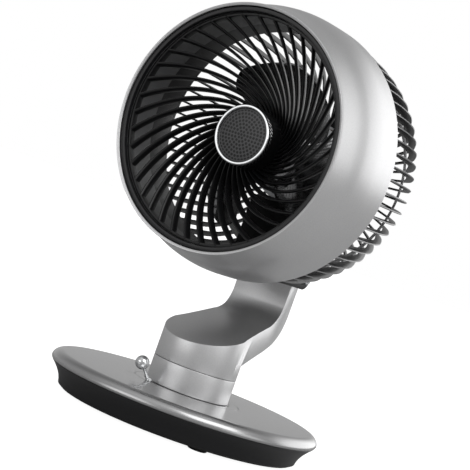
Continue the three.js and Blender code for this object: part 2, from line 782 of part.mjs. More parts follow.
// ---------- rotor ----------
// One blade: a thin slab bent round the axis, broad at its root and swept back, with the edge that
// leads at the front and the other at the rear.
function blade(phase) {
  const slab = new THREE.BoxGeometry(1, 1, 1, 5, 6, 1);
  const spots = slab.attributes.position;
  for (let i = 0; i < spots.count; i++) {
    const out = spots.getX(i) + 0.5;
    const along = spots.getY(i) * 2;
    const radius = THREE.MathUtils.lerp(rotorHubRadius - 1.5, bladeTip, out);
    const widen = (1 - out) ** 0.8;
    const width = THREE.MathUtils.lerp(bladeTipWidth, bladeRootWidth, widen);
    const angle = phase - bladeSweep * (1 - out) + (width / 2) * along;
    const depth = THREE.MathUtils.lerp(bladeTipDepth, bladeRootDepth, widen) - bladeThickness;
    const edge = 1 - 0.5 * Math.abs(along) ** 3;
    const y = bladeMiddleY - (depth / 2) * Math.sin((along * Math.PI) / 2 * 0.9)
      + spots.getZ(i) * bladeThickness * edge;
    const [x, z] = onCircle(radius, angle);
    spots.setXYZ(i, x, y, z + headZ);
  }
  return solid(slab);
}

function impeller() {
  const bore = rotorShaftRadius + gap;
  const inner = rotorHubRadius - rotorHubWall;
  const front = rotorHubFront;
  const hub = turnedHead([
    [bore, front], [rotorHubRadius - 7, front], [rotorHubRadius - 2, front + 2.5],
    [rotorHubRadius, front + 8], [rotorHubRadius, rotorHubRear], [inner, rotorHubRear],
    [inner, front + 8], [rotorHubRadius - 8, front + rotorHubWall],
    [rotorBoss, front + rotorHubWall], [rotorBoss, 6], [bore, 6],
  ]);
  let wheel = hub;
  for (let k = 0; k < bladeCount; k++) wheel = wheel.add(blade(bladePhase + (360 / bladeCount) * k));
  return wheel.subtract(turnedHead(rod(inner, front + 8.2, rotorHubRear + 1))
    .subtract(turnedHead(rod(rotorBoss, front + 8, rotorHubRear + 2))));
}

const shaftFront = rotorHubFront - 3;
const plateFront = cageBackY - backPlateThickness;
const motorRear = plateFront - gap;

function spinnerNut() {
  const high = rotorHubFront - gap;
  const low = high - spinnerHeight;
  const bore = rotorShaftRadius + gap;
  return turnedHead([[0, low], [spinnerRadius - 2, low], [spinnerRadius, low + 2],
    [spinnerRadius, high], [bore, high], [bore, shaftFront - gap], [0, shaftFront - gap]], smallSides);
}

const rotorShaft = () => turnedHead(rod(rotorShaftRadius, shaftFront, motorRear - 1), smallSides);

function motorCore() {
  const low = motorFront + motorWall + bearingHeight + 3;
  const bore = rotorShaftRadius + gap;
  return turnedHead(tube(bore, statorInner - fitGap, low, low + statorLength), smallSides);
}

add('impeller', blackPlastic, impeller());
add('spinner_nut', blackPlastic, spinnerNut());
add('rotor_shaft', steel, rotorShaft());
add('motor_core', steel, motorCore());

// ---------- motor ----------
const bearingSeat = bearingRadius + gap;

function motorHousing() {
  const inner = motorRadius - motorWall;
  const face = motorFront + motorWall;
  const seatEnd = motorFront + bearingHeight + gap;
  const opening = bearingRadius - 2.5;
  return turnedHead([
    [opening, motorFront], [motorRadius - 4, motorFront], [motorRadius, motorFront + 4],
    [motorRadius, motorRear], [inner, motorRear], [inner, face + 2.5], [motorRadius - 5, face],
    [bearingSeat + 2, face], [bearingSeat + 2, seatEnd], [bearingSeat, seatEnd],
    [bearingSeat, motorFront + 1], [opening, motorFront + 1],
  ]);
}

const bearing = (low) => turnedHead(
  tube(rotorShaftRadius + fitGap, bearingRadius, low, low + bearingHeight - 1), smallSides);

function stator() {
  const low = motorFront + motorWall + bearingHeight + 3;
  const outer = motorRadius - motorWall - gap;
  const end = statorInner + 8;
  return turnedHead([[statorInner, low], [end, low - 2], [end + 4, low], [outer, low + 3],
    [outer, low + statorLength - 3], [end + 4, low + statorLength], [end, low + statorLength + 2],
    [statorInner, low + statorLength]], 24);
}

// The rear bearing stands in a cup between the cage's plate and the stator.
function rearBearingCup() {
  const low = motorRear - bearingHeight - 1;
  return turnedHead([[bearingSeat, low], [bearingSeat + 2, low], [bearingSeat + 2, motorRear - 2],
    [motorRadius - motorWall - gap, motorRear - 2], [motorRadius - motorWall - gap, motorRear],
    [bearingSeat, motorRear]]);
}

function motorScrew(k) {
  const [x, z] = onCircle(motorScrewCircle, 90 + (360 / motorScrewCount) * k);
  const head = new THREE.CylinderGeometry(screwHeadRadius, screwHeadRadius, screwHeadHeight, tinySides);
  const shankLength = backPlateThickness + gap;
  const shank = new THREE.CylinderGeometry(screwRadius, screwRadius, shankLength + 1, tinySides);
  const seat = cageBackY + gap;
  return solid(head.translate(x, seat + screwHeadHeight / 2, headZ + z))
    .add(solid(shank.translate(x, seat - shankLength / 2 + 0.5, headZ + z)));
}

add('motor_housing', steel, motorHousing());
add('front_bearing', steel, bearing(motorFront + 1 + gap));
add('rear_bearing', steel, bearing(motorRear - bearingHeight));
add('stator', copper, stator());
add('motor_end_plate', steel, rearBearingCup());
for (let k = 0; k < motorScrewCount; k++) add(`motor_screw_${k + 1}`, steel, motorScrew(k));

// ---------- rear cage ----------
const bulgeAt = (y) => cageRadius * Math.sqrt(1 - ((y - cageStraightEnd) / cageBulge) ** 2);

// The cage's wall in [outer radius, outer y, inner radius, inner y], from the middle of the back,
// round the corner, to the ring that sits in the shell. The fins run from the second row to the
// last but one.
function cageWall() {
  const corner = bulgeAt(cageCornerY);
  const swell = 55;
  const ringOuter = shellInsideAt(cageRingFront) - gap;
  const ringInner = ringOuter - cageRingWidth;
  return [
    [0, cageBackY, 0, plateFront],
    [backPlateRadius, cageBackY, backPlateRadius, plateFront],
    [cageBackRim, cageBackY, cageBackRim - 1, cageBackY - finDepth],
    [corner - 7, cageCornerY + 10, corner - 11, cageBackY - finDepth - 3],
    [corner, cageCornerY, corner - finDepth, cageCornerY - 3],
    [bulgeAt(swell), swell, bulgeAt(swell) - finDepth, swell - 1.5],
    [cageRadius, cageStraightEnd, cageRadius - finDepth, cageStraightEnd],
    [ringOuter, cageRingRear, ringInner, cageRingRear],
    [ringOuter, cageRingFront, ringInner, cageRingFront],
  ];
}

// The cage: fins in planes through the head's axis, joined by the back plate and the front ring.
// A column is one side of a fin, counted round the axis; face 0 is outside and face 1 inside.
function slottedCage() {
  const wall = cageWall();
  const last = wall.length - 2;
  const columns = 2 * finCount;
  const spots = [0, wall[0][1], headZ, 0, wall[0][3], headZ];
  const faces = [];
  for (let column = 0; column < columns; column++) {
    const turn = Math.floor(column / 2) * (360 / finCount) + 180 / finCount;
    const across = (column % 2 - 0.5) * finThickness;
    for (const row of wall.slice(1)) {
      for (const face of [0, 2]) {
        const spin = THREE.MathUtils.radToDeg(Math.atan2(across, row[face]));
        const [x, z] = onCircle(Math.hypot(row[face], across), turn + spin);
        spots.push(x, row[face + 1], headZ + z);
      }
    }
  }
  const spot = (column, row, face) => 2 + 2 * ((column % columns) * (last + 1) + row - 1) + face;
  const quad = (a, b, c, d) => faces.push(a, b, c, a, c, d);
  for (let a = 0; a < columns; a++) {
    const b = a + 1;
    const isFin = a % 2 === 0;
    faces.push(0, spot(b, 1, 0), spot(a, 1, 0), 1, spot(a, 1, 1), spot(b, 1, 1));
    for (let row = isFin ? 1 : last; row <= last; row++) {
      quad(spot(a, row, 0), spot(b, row, 0), spot(b, row + 1, 0), spot(a, row + 1, 0));
      quad(spot(a, row, 1), spot(a, row + 1, 1), spot(b, row + 1, 1), spot(b, row, 1));
    }
    for (let row = 1; row < last; row++) {
      const side = [spot(a, row, 0), spot(a, row, 1), spot(a, row + 1, 1), spot(a, row + 1, 0)];
      quad(...(isFin ? side.reverse() : side));
    }
    quad(spot(a, last + 1, 0), spot(b, last + 1, 0), spot(b, last + 1, 1), spot(a, last + 1, 1));
    if (isFin) continue;
    quad(spot(a, 1, 0), spot(b, 1, 0), spot(b, 1, 1), spot(a, 1, 1));
    quad(spot(a, last, 0), spot(a, last, 1), spot(b, last, 1), spot(b, last, 0));
  }
  const geometry = new THREE.BufferGeometry();
  geometry.setAttribute('position', new THREE.Float32BufferAttribute(spots, 3));
  geometry.setIndex(faces);
  return solid(geometry);
}

function rearGrille() {
  let cage = slottedCage().subtract(block(-mountPocketReach, mountPocketReach, cageRingRear,
    cageCornerY + 3, mountPocketLow, mountPocketHigh));
  for (let k = 0; k < motorScrewCount; k++) {
    const [x, z] = onCircle(motorScrewCircle, 90 + (360 / motorScrewCount) * k);
    const hole = new THREE.CylinderGeometry(screwRadius + gap, screwRadius + gap, 30, tinySides);
    cage = cage.subtract(solid(hole.translate(x, cageBackY, headZ + z)));
  }
  return cage;
}

// A hoop that stiffens the fins from inside, broken below for the head mount.
function cageHoop() {
  const low = cageHoopY - cageHoopLength / 2;
  const high = cageHoopY + cageHoopLength / 2;
  const outer = bulgeAt(cageHoopY) - finDepth - cageHoopGap;
  const lean = cageHoopLength / 2;
  const hoop = turnedHead([[outer - cageHoopWidth, low], [outer, low], [outer - lean, high],
    [outer - cageHoopWidth - lean, high]], largeSides);
  return hoop.subtract(block(-mountPocketReach, mountPocketReach, low - 1, high + 1,
    mountPocketLow, mountPocketHigh + 16));
}

function motorCover() {
  const low = cageBackY + gap;
  const high = low + coverHeight;
  return turnedHead([[coverRadius, low], [coverRadius, low + 2], [coverRadius - 5, high],
    [0, high], [0, high - coverWall], [coverRadius - 6, high - coverWall],
    [coverRadius - coverWall, low + 1.4], [coverRadius - coverWall, low]]);
}

add('rear_grille', charcoal, rearGrille());
add('cage_hoop', darkGrey, cageHoop());
add('motor_cover', charcoal, motorCover());

export default model;
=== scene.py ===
"""Looks of a table-top air circulator fan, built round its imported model.

The head (shell, duct, spiral grille, rotor, finned cage) tilts on an arm that swings on a round
base. Shapes are worked out in millimetres and put in place in metres.
"""
import math

import bmesh
import bpy
from mathutils import Matrix, Vector


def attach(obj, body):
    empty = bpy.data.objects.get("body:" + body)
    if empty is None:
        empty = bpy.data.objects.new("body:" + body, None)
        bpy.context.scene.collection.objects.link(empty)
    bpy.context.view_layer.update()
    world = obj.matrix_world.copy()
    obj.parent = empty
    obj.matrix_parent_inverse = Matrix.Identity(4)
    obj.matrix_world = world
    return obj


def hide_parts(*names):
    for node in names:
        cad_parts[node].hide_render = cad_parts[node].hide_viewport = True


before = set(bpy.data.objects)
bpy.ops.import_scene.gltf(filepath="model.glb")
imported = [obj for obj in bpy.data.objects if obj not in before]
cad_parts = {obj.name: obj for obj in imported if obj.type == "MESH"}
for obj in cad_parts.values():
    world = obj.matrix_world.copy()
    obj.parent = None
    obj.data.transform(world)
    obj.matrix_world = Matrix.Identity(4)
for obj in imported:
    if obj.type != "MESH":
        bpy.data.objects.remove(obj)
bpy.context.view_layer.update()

# ---------- dimensions, in millimetres and degrees ----------
METRES = 0.001
MERGE = 0.002  # points closer than this are one
GAP = 0.3  # between two pieces that meet
HEAD_Z = 242.2  # height of the head's axis
NECK_Y = -1.0
PIVOT = (66.5, 150.0)  # y and z of the tilt bolt

PLATE_RADIUS = 115.0
PLATE_FLAT = 106.0
PLATE_INNER = 109.0
PLATE_TOP = 31.0
PLATE_UNDER = 27.0
PLATE_EDGE_LOW = 24.0
HOUSING_TOP = 22.3
HOUSING_TOP_RADIUS = 114.4
HOUSING_BOTTOM_RADIUS = 102.8
HOUSING_FLARE = 1.9
HOUSING_WALL = 3.0
HOUSING_LOW = 2.5
FLOOR_TOP = 5.0
INLET_Z = 12.5
FOOT_CIRCLE = 88.0
SCREW_CIRCLE = 76.0
NECK_RADIUS = 35.35
NECK_TOP_RISE = 0.353
COLLAR_TOP = 51.9
ARM_LOW = 52.4
ARM_WIDE = 35.7
ARM_NARROW = 26.4
ARM_TAPER_END = 55.0
ARM_FRONT = 60.3
ARM_REAR = 73.0
BARREL_RADIUS = 9.5

MOUNT_REACH = 33.0
MOUNT_FRONT = 3.3
MOUNT_REAR = 52.0
MOUNT_WALL = 4.0
MOUNT_LOW = 140.2
MOUNT_HIGH = 148.6
CHEEK_INNER = 27.0
CHEEK_ROUND = 10.0
CHEEK_FRONT = 44.0

# the shell's outside from its front lip to its back: radius, place along the head's axis
SHELL_LINE = [(100.7, -81.3), (104.9, -61.2), (108.7, -47.6), (110.9, -33.1), (111.4, -17.1),
              (111.4, -1.0)]
SHELL_WALL = 2.4
DUCT_RADIUS = 94.5
DUCT_FRONT = -79.0
DUCT_REAR = -15.5
RIB_COUNT = 40
RIB_SWEEP = 50.0
RIB_PHASE = -4.0
RIB_HALF = 1.3
RIB_LEAN = 1.7
RIB_DEPTH = 7.0
RIB_RIM = 91.6
HUB_RADIUS = 25.0
HUB_FRONT = -48.6

BLADE_PHASE = 119.0
BLADE_SWEEP = 40.0
BLADE_WIDTHS = (44.0, 112.0)
BLADE_DEPTHS = (21.6, 37.6)
BLADE_MIDDLE = 7.0
BLADE_HALF_THICKNESS = 1.2
BLADE_TIP = 77.0
ROTOR_HUB = 30.0

MOTOR_RADIUS = 38.0
MOTOR_FRONT = 34.0
MOTOR_LOW = HEAD_Z - MOTOR_RADIUS - GAP
CAGE_RADIUS = 108.1
CAGE_WIDEST_Y = 27.6
CAGE_HALF_LENGTH = 97.45
CAGE_BACK = 88.0
BACK_PLATE_FRONT = 82.5
FIN_COUNT = 62
FIN_THICKNESS = 1.8
POCKET_REACH = 37.4

RING_INNER = 37.0
RING_OUTER = 45.0
RING_LOW = 28.0
LEVER_ANGLE = -109.5
LEVER_CIRCLE = 41.5
LEVER_LEAN = 43.0
LEVER_TURN = (-30.0, 60.0)
BALL_RADIUS = 5.8
BALL_HEIGHT = 17.8


# ---------- working tools ----------
def on_circle(radius, degrees, x=0.0, y=0.0):
    turn = math.radians(degrees)
    return x + radius * math.cos(turn), y + radius * math.sin(turn)


def rounded(outline, corner=0.5, steps=3):
    """The closed outline with each corner that is off the axis rounded."""
    points = []
    count = len(outline)
    for i, spot in enumerate(outline):
        here = Vector(spot)
        back = Vector(outline[i - 1]) - here
        on = Vector(outline[(i + 1) % count]) - here
        angle = back.angle(on)
        if spot[0] < 1e-6 or angle > math.radians(165):
            points.append(here)
            continue
        cut = min(corner / math.tan(angle / 2), 0.45 * back.length, 0.45 * on.length)
        start = here + back.normalized() * cut
        end = here + on.normalized() * cut
        for k in range(steps + 1):
            share = k / steps
            points.append(start.lerp(here, share).lerp(here.lerp(end, share), share))
    return points


def smooth_line(points, steps=6):
    """A smooth open line through the points."""
    spots = [Vector(p) for p in points]
    spots = [spots[0] * 2 - spots[1]] + spots + [spots[-1] * 2 - spots[-2]]
    line = []
    for a, b, c, d in zip(spots, spots[1:], spots[2:], spots[3:]):
        for k in range(steps):
            t = k / steps
            line.append(0.5 * (2 * b + (c - a) * t + (2 * a - 5 * b + 4 * c - d) * t * t
                               + (3 * b - a - 3 * c + d) * t ** 3))
    line.append(spots[-2])
    return line


def tidy(shape):
    """Merges doubled points and turns the faces outwards."""
    bmesh.ops.remove_doubles(shape, verts=shape.verts, dist=MERGE)
    bmesh.ops.recalc_face_normals(shape, faces=shape.faces)
    return shape


def spun(outline, sides=144, corner=0.5, start=0.0, turn=360.0):
    """A closed outline of (radius, height) points spun about the Z axis."""
    shape = bmesh.new()
    points = rounded(outline, corner)
    spots = [shape.verts.new((p.x, 0, p.y)) for p in points]
    for a, b in zip(spots, spots[1:] + spots[:1]):
        if max(a.co.x, b.co.x) > 1e-6:
            shape.edges.new((a, b))
    whole = turn > 359.9
    if not whole:
        bmesh.ops.contextual_create(shape, geom=shape.edges[:])
    turned(shape, start, "Z")
    bmesh.ops.spin(shape, geom=shape.verts[:] + shape.edges[:] + shape.faces[:], cent=(0, 0, 0),
                   axis=(0, 0, 1), angle=math.radians(turn), steps=sides, use_merge=whole)
    return tidy(shape)


def moved(shape, x=0.0, y=0.0, z=0.0):
    bmesh.ops.translate(shape, vec=(x, y, z), verts=shape.verts)
    return shape


def turned(shape, degrees, axis):
    turn = Matrix.Rotation(math.radians(degrees), 3, axis)
    bmesh.ops.rotate(shape, matrix=turn, verts=shape.verts)
    return shape


def about_head(shape):
    """From the Z axis to the head's axis, which lies along Y."""
    turn = Matrix.Translation((0, 0, HEAD_Z)) @ Matrix.Rotation(-math.pi / 2, 4, "X")
    bmesh.ops.transform(shape, matrix=turn, verts=shape.verts)
    return shape


def tube(inner, outer, low, high):
    return [(inner, low), (outer, low), (outer, high), (inner, high)]


def rod(radius, low, high):
    return tube(0.0, radius, low, high)


def block(x0, x1, y0, y1, z0, z1):
    shape = bmesh.new()
    bmesh.ops.create_cube(shape, size=1.0)
    bmesh.ops.scale(shape, vec=(x1 - x0, y1 - y0, z1 - z0), verts=shape.verts)
    return moved(shape, (x0 + x1) / 2, (y0 + y1) / 2, (z0 + z1) / 2)


def prism(outline, low, high):
    """A closed outline of (x, y) points raised from low to high."""
    shape = bmesh.new()
    spots = [shape.verts.new((x, y, low)) for x, y in outline]
    face = shape.faces.new(spots)
    raised = bmesh.ops.extrude_face_region(shape, geom=[face])["geom"]
    top = [part for part in raised if isinstance(part, bmesh.types.BMVert)]
    bmesh.ops.translate(shape, vec=(0, 0, high - low), verts=top)
    bmesh.ops.recalc_face_normals(shape, faces=shape.faces)
    return shape


def sideways(shape):
    """From a raised (y, z) outline to one that runs along X."""
    turn = Matrix(((0, 0, 1, 0), (1, 0, 0, 0), (0, 1, 0, 0), (0, 0, 0, 1)))
    bmesh.ops.transform(shape, matrix=turn, verts=shape.verts)
    return shape


def drawn_out(stations, around, place):
    """A closed bar: a grid wrapped round its long way, with both ends filled.
    place(share, turn) gives the spot at a share of the length and an angle round the bar."""
    shape = bmesh.new()
    bmesh.ops.create_grid(shape, x_segments=around, y_segments=stations, size=0.5)
    for vert in shape.verts:
        vert.co = place(vert.co.y + 0.5, (vert.co.x + 0.5) * 2 * math.pi)
    bmesh.ops.remove_doubles(shape, verts=shape.verts, dist=MERGE)
    bmesh.ops.holes_fill(shape, edges=[e for e in shape.edges if e.is_boundary], sides=0)
    bmesh.ops.recalc_face_normals(shape, faces=shape.faces)
    return shape


def repeated(shape, count, axis=(0, 0, 1)):
    """The shape and its copies, spaced evenly round the axis."""
    step = 2 * math.pi / count
    bmesh.ops.spin(shape, geom=shape.verts[:] + shape.edges[:] + shape.faces[:], cent=(0, 0, 0),
                   axis=axis, angle=step * (count - 1), steps=count - 1, use_duplicate=True)
    return shape


def together(*shapes):
    """Several shapes in one, each still closed."""
    whole = shapes[0]
    for shape in shapes[1:]:
        held = bpy.data.meshes.new("held")
        shape.to_mesh(held)
        shape.free()
        whole.from_mesh(held)
        bpy.data.meshes.remove(held)
    return whole


def block_object(name, shape):
    mesh = bpy.data.meshes.new(name)
    shape.to_mesh(mesh)
    shape.free()
    made = bpy.data.objects.new(name, mesh)
    bpy.context.scene.collection.objects.link(made)
    return made


def combined(first, second, way):
    """The solid that is left of two: way is UNION, DIFFERENCE or INTERSECT."""
    body = block_object("body", first)
    tool = block_object("tool", second)
    change = body.modifiers.new("change", "BOOLEAN")
    change.operation = way
    change.solver = "EXACT"
    change.object = tool
    evaluated = body.evaluated_get(bpy.context.evaluated_depsgraph_get())
    result = bpy.data.meshes.new_from_object(evaluated)
    shape = bmesh.new()
    shape.from_mesh(result)
    for made in (body, tool):
        mesh = made.data
        bpy.data.objects.remove(made)
        bpy.data.meshes.remove(mesh)
    bpy.data.meshes.remove(result)
    return shape


def cut(shape, *tools):
    for tool in tools:
        shape = combined(shape, tool, "DIFFERENCE")
    return shape


def eased(shape, width, segments=2, sharp=40.0):
    """Every edge sharper than the angle gets a small round."""
    bmesh.ops.remove_doubles(shape, verts=shape.verts, dist=MERGE)
    bmesh.ops.dissolve_limit(shape, angle_limit=math.radians(0.5), verts=shape.verts,
                             edges=shape.edges)
    edges = [e for e in shape.edges if e.calc_face_angle(0) > math.radians(sharp)]
    bmesh.ops.bevel(shape, geom=edges, offset=width, offset_type="OFFSET", segments=segments,
                    profile=0.5, affect="EDGES", material=-1, clamp_overlap=True)
    return shape


def piece(name, shape, material, body, nodes=(), sharp=35.0):
    """A finished piece, in metres, on its body, standing for its nodes."""
    bmesh.ops.scale(shape, vec=(METRES, METRES, METRES), verts=shape.verts)
    for face in shape.faces:
        face.smooth = True
    for edge in shape.edges:
        edge.smooth = edge.calc_face_angle(0) < math.radians(sharp)
    made = block_object(name, shape)
    made.data.materials.append(material)
    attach(made, body)
    if nodes:
        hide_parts(*nodes)
    return made


# ---------- shared surface effects ----------
def effect(name, inputs, outputs):
    """A shader node group with its named inputs and outputs."""
    tree = bpy.data.node_groups.new(name, "ShaderNodeTree")
    for label, kind, value in inputs:
        socket = tree.interface.new_socket(name=label, in_out="INPUT", socket_type=kind)
        socket.default_value = value
    for label, kind in outputs:
        tree.interface.new_socket(name=label, in_out="OUTPUT", socket_type=kind)
    return tree, tree.nodes.new("NodeGroupInput"), tree.nodes.new("NodeGroupOutput")


def maths(tree, operation, *values):
    """A maths node's result; each value is a number or what another node gives."""
    node = tree.nodes.new("ShaderNodeMath")
    node.operation = operation
    for socket, value in zip(node.inputs, values):
        if isinstance(value, (int, float)):
            socket.default_value = value
        else:
            tree.links.new(value, socket)
    return node.outputs[0]


def shaded(tree, colour, shade):
    """The colour made darker or lighter by a factor."""
    node = tree.nodes.new("ShaderNodeVectorMath")
    node.operation = "SCALE"
    tree.links.new(colour, node.inputs[0])
    tree.links.new(shade, node.inputs["Scale"])
    return node.outputs[0]


def fine_grain():
    """Moulded or painted surface: slow colour drift, uneven gloss and a fine grain in relief."""
    tree, given, out = effect(
        "fine_grain",
        [("Colour", "NodeSocketColor", (0.5, 0.5, 0.5, 1)), ("Drift", "NodeSocketFloat", 0.06),
         ("Gloss", "NodeSocketFloat", 0.35), ("Gloss Drift", "NodeSocketFloat", 0.05),
         ("Grain Size", "NodeSocketFloat", 900.0), ("Grain Relief", "NodeSocketFloat", 0.05)],
        [("Colour", "NodeSocketColor"), ("Roughness", "NodeSocketFloat"),
         ("Normal", "NodeSocketVector")])
    nodes, links = tree.nodes, tree.links
    place = nodes.new("ShaderNodeTexCoord")
    slow = nodes.new("ShaderNodeTexNoise")
    slow.inputs["Scale"].default_value = 14.0
    slow.inputs["Detail"].default_value = 3.0
    links.new(place.outputs["Object"], slow.inputs["Vector"])
    fine = nodes.new("ShaderNodeTexNoise")
    fine.inputs["Detail"].default_value = 2.0
    links.new(place.outputs["Object"], fine.inputs["Vector"])
    links.new(given.outputs["Grain Size"], fine.inputs["Scale"])
    centred = maths(tree, "SUBTRACT", slow.outputs["Fac"], 0.5)
    shade = maths(tree, "MULTIPLY_ADD", centred, given.outputs["Drift"], 1.0)
    links.new(shaded(tree, given.outputs["Colour"], shade), out.inputs["Colour"])
    gloss = maths(tree, "MULTIPLY_ADD", centred, given.outputs["Gloss Drift"],
                  given.outputs["Gloss"])
    links.new(gloss, out.inputs["Roughness"])
    relief = nodes.new("ShaderNodeBump")
    relief.inputs["Distance"].default_value = 0.0002
    links.new(fine.outputs["Fac"], relief.inputs["Height"])
    links.new(given.outputs["Grain Relief"], relief.inputs["Strength"])
    links.new(relief.outputs["Normal"], out.inputs["Normal"])
    return tree


def metal_flake():
    """Metallic paint: small flakes that differ a little in brightness."""
    tree, given, out = effect(
        "metal_flake",
        [("Colour", "NodeSocketColor", (0.5, 0.5, 0.5, 1)),
         ("Flake Size", "NodeSocketFloat", 2600.0), ("Flake Contrast", "NodeSocketFloat", 0.12)],
        [("Colour", "NodeSocketColor")])
    nodes, links = tree.nodes, tree.links
    place = nodes.new("ShaderNodeTexCoord")
    cells = nodes.new("ShaderNodeTexVoronoi")
    links.new(place.outputs["Object"], cells.inputs["Vector"])
    links.new(given.outputs["Flake Size"], cells.inputs["Scale"])
    parts = nodes.new("ShaderNodeSeparateColor")
    links.new(cells.outputs["Color"], parts.inputs[0])
    centred = maths(tree, "SUBTRACT", parts.outputs[0], 0.5)
    shade = maths(tree, "MULTIPLY_ADD", centred, given.outputs["Flake Contrast"], 1.0)
    links.new(shaded(tree, given.outputs["Colour"], shade), out.inputs["Colour"])
    return tree


def perforation():
    """Small round holes in rings about the head's axis, each ring with six more than the last."""
    tree, given, out = effect(
        "perforation",
        [("Pitch", "NodeSocketFloat", 0.0029), ("Hole Radius", "NodeSocketFloat", 0.00112),
         ("Reach", "NodeSocketFloat", 0.0206)],
        [("Holes", "NodeSocketFloat")])
    nodes, links = tree.nodes, tree.links

    def length(first, second):
        squares = maths(tree, "ADD", maths(tree, "MULTIPLY", first, first),
                        maths(tree, "MULTIPLY", second, second))
        return maths(tree, "SQRT", squares)

    place = nodes.new("ShaderNodeTexCoord")
    parts = nodes.new("ShaderNodeSeparateXYZ")
    links.new(place.outputs["Object"], parts.inputs[0])
    across = parts.outputs["X"]
    up = maths(tree, "SUBTRACT", parts.outputs["Z"], HEAD_Z * METRES)
    pitch = given.outputs["Pitch"]
    reach = length(across, up)
    ring = maths(tree, "ROUND", maths(tree, "DIVIDE", reach, pitch))
    step = maths(tree, "DIVIDE", math.pi / 3, maths(tree, "MAXIMUM", ring, 1.0))
    turns = maths(tree, "DIVIDE", maths(tree, "ARCTAN2", up, across), step)
    off_hole = maths(tree, "SUBTRACT", turns, maths(tree, "ROUND", turns))
    aside = maths(tree, "MULTIPLY", maths(tree, "MULTIPLY", off_hole, step), reach)
    along = maths(tree, "SUBTRACT", reach, maths(tree, "MULTIPLY", ring, pitch))
    hole = maths(tree, "LESS_THAN", length(aside, along), given.outputs["Hole Radius"])
    inside = maths(tree, "LESS_THAN", reach, given.outputs["Reach"])
    links.new(maths(tree, "MULTIPLY", hole, inside), out.inputs["Holes"])
    return tree


def shade_end_bands():
    """Which parts of a ring lie further than a reach from a middle along the head's axis: the mask
    of painted shade.
    """
    tree, given, out = effect(
        "shade_end_bands", [("Middle", "NodeSocketFloat", 0.0), ("Reach", "NodeSocketFloat", 0.01)],
        [("Ends", "NodeSocketFloat")])
    nodes, links = tree.nodes, tree.links
    place = nodes.new("ShaderNodeTexCoord")
    parts = nodes.new("ShaderNodeSeparateXYZ")
    links.new(place.outputs["Object"], parts.inputs[0])
    within = maths(tree, "COMPARE", parts.outputs["Y"], given.outputs["Middle"],
                   given.outputs["Reach"])
    links.new(maths(tree, "SUBTRACT", 1.0, within), out.inputs["Ends"])
    return tree


def edge_highlight_mask():
    """How far a face looks away from the head's middle: most on a fin's narrow outer edge; it masks
    a painted highlight.
    """
    tree, given, out = effect(
        "edge_highlight_mask", [("Start", "NodeSocketFloat", 0.15)], [("Edges", "NodeSocketFloat")])
    nodes, links = tree.nodes, tree.links
    place = nodes.new("ShaderNodeTexCoord")
    offset = nodes.new("ShaderNodeVectorMath")
    offset.operation = "SUBTRACT"
    offset.inputs[1].default_value = (0, 0, HEAD_Z * METRES)
    links.new(place.outputs["Object"], offset.inputs[0])
    way = nodes.new("ShaderNodeVectorMath")
    way.operation = "NORMALIZE"
    links.new(offset.outputs[0], way.inputs[0])
    dot = nodes.new("ShaderNodeVectorMath")
    dot.operation = "DOT_PRODUCT"
    links.new(way.outputs[0], dot.inputs[0])
    links.new(place.outputs["Normal"], dot.inputs[1])
    spread = nodes.new("ShaderNodeMapRange")
    spread.interpolation_type = "SMOOTHSTEP"
    links.new(dot.outputs["Value"], spread.inputs["Value"])
    links.new(given.outputs["Start"], spread.inputs["From Min"])
    links.new(spread.outputs["Result"], out.inputs["Edges"])
    return tree


GRAIN = fine_grain()
FLAKE = metal_flake()
HOLES = perforation()
SHADE_BANDS = shade_end_bands()
EDGES = edge_highlight_mask()


# ---------- materials ----------
def used(material, tree):
    node = material.node_tree.nodes.new("ShaderNodeGroup")
    node.node_tree = tree
    return node


def surface(name, colour, roughness, metallic=0.0, drift=0.06, relief=0.05, grain=900.0,
            coat=0.0, flake=0.0, specular=0.5, gloss_drift=0.06):
    """A moulded, painted or metal surface from the shared effects."""
    made = bpy.data.materials.new(name)
    made.use_nodes = True
    links = made.node_tree.links
    shader = made.node_tree.nodes["Principled BSDF"]
    shader.inputs["Metallic"].default_value = metallic
    shader.inputs["Specular IOR Level"].default_value = specular
    shader.inputs["Coat Weight"].default_value = coat
    shader.inputs["Coat Roughness"].default_value = 0.08
    skin = used(made, GRAIN)
    skin.inputs["Colour"].default_value = (*colour, 1)
    skin.inputs["Drift"].default_value = drift
    skin.inputs["Gloss"].default_value = roughness
    skin.inputs["Gloss Drift"].default_value = gloss_drift
    skin.inputs["Grain Size"].default_value = grain
    skin.inputs["Grain Relief"].default_value = relief
    tint = skin.outputs["Colour"]
    if flake:
        sparkle = used(made, FLAKE)
        sparkle.inputs["Flake Contrast"].default_value = flake
        links.new(tint, sparkle.inputs["Colour"])
        tint = sparkle.outputs["Colour"]
    links.new(tint, shader.inputs["Base Color"])
    links.new(skin.outputs["Roughness"], shader.inputs["Roughness"])
    links.new(skin.outputs["Normal"], shader.inputs["Normal"])
    return made


def tinted(made, mask, colour):
    """Where the mask is 1, the surface takes this colour in place of its own."""
    nodes, links = made.node_tree.nodes, made.node_tree.links
    own = nodes["Principled BSDF"].inputs["Base Color"]
    mix = nodes.new("ShaderNodeMix")
    mix.data_type = "RGBA"
    links.new(mask, mix.inputs["Factor"])
    links.new(own.links[0].from_socket, mix.inputs["A"])
    mix.inputs["B"].default_value = (*colour, 1)
    links.new(mix.outputs["Result"], own)


def perforated(name, colour, hole_colour, roughness):
    """The hub's cover: a dark disc with rows of small holes sunk into it."""
    made = surface(name, colour, roughness, relief=0.03)
    nodes, links = made.node_tree.nodes, made.node_tree.links
    shader = nodes["Principled BSDF"]
    holes = used(made, HOLES)
    tinted(made, holes.outputs["Holes"], hole_colour)
    sunk = nodes.new("ShaderNodeBump")
    sunk.invert = True
    sunk.inputs["Distance"].default_value = 0.0004
    sunk.inputs["Strength"].default_value = 0.6
    links.new(holes.outputs["Holes"], sunk.inputs["Height"])
    links.new(shader.inputs["Normal"].links[0].from_socket, sunk.inputs["Normal"])
    links.new(sunk.outputs["Normal"], shader.inputs["Normal"])
    return made


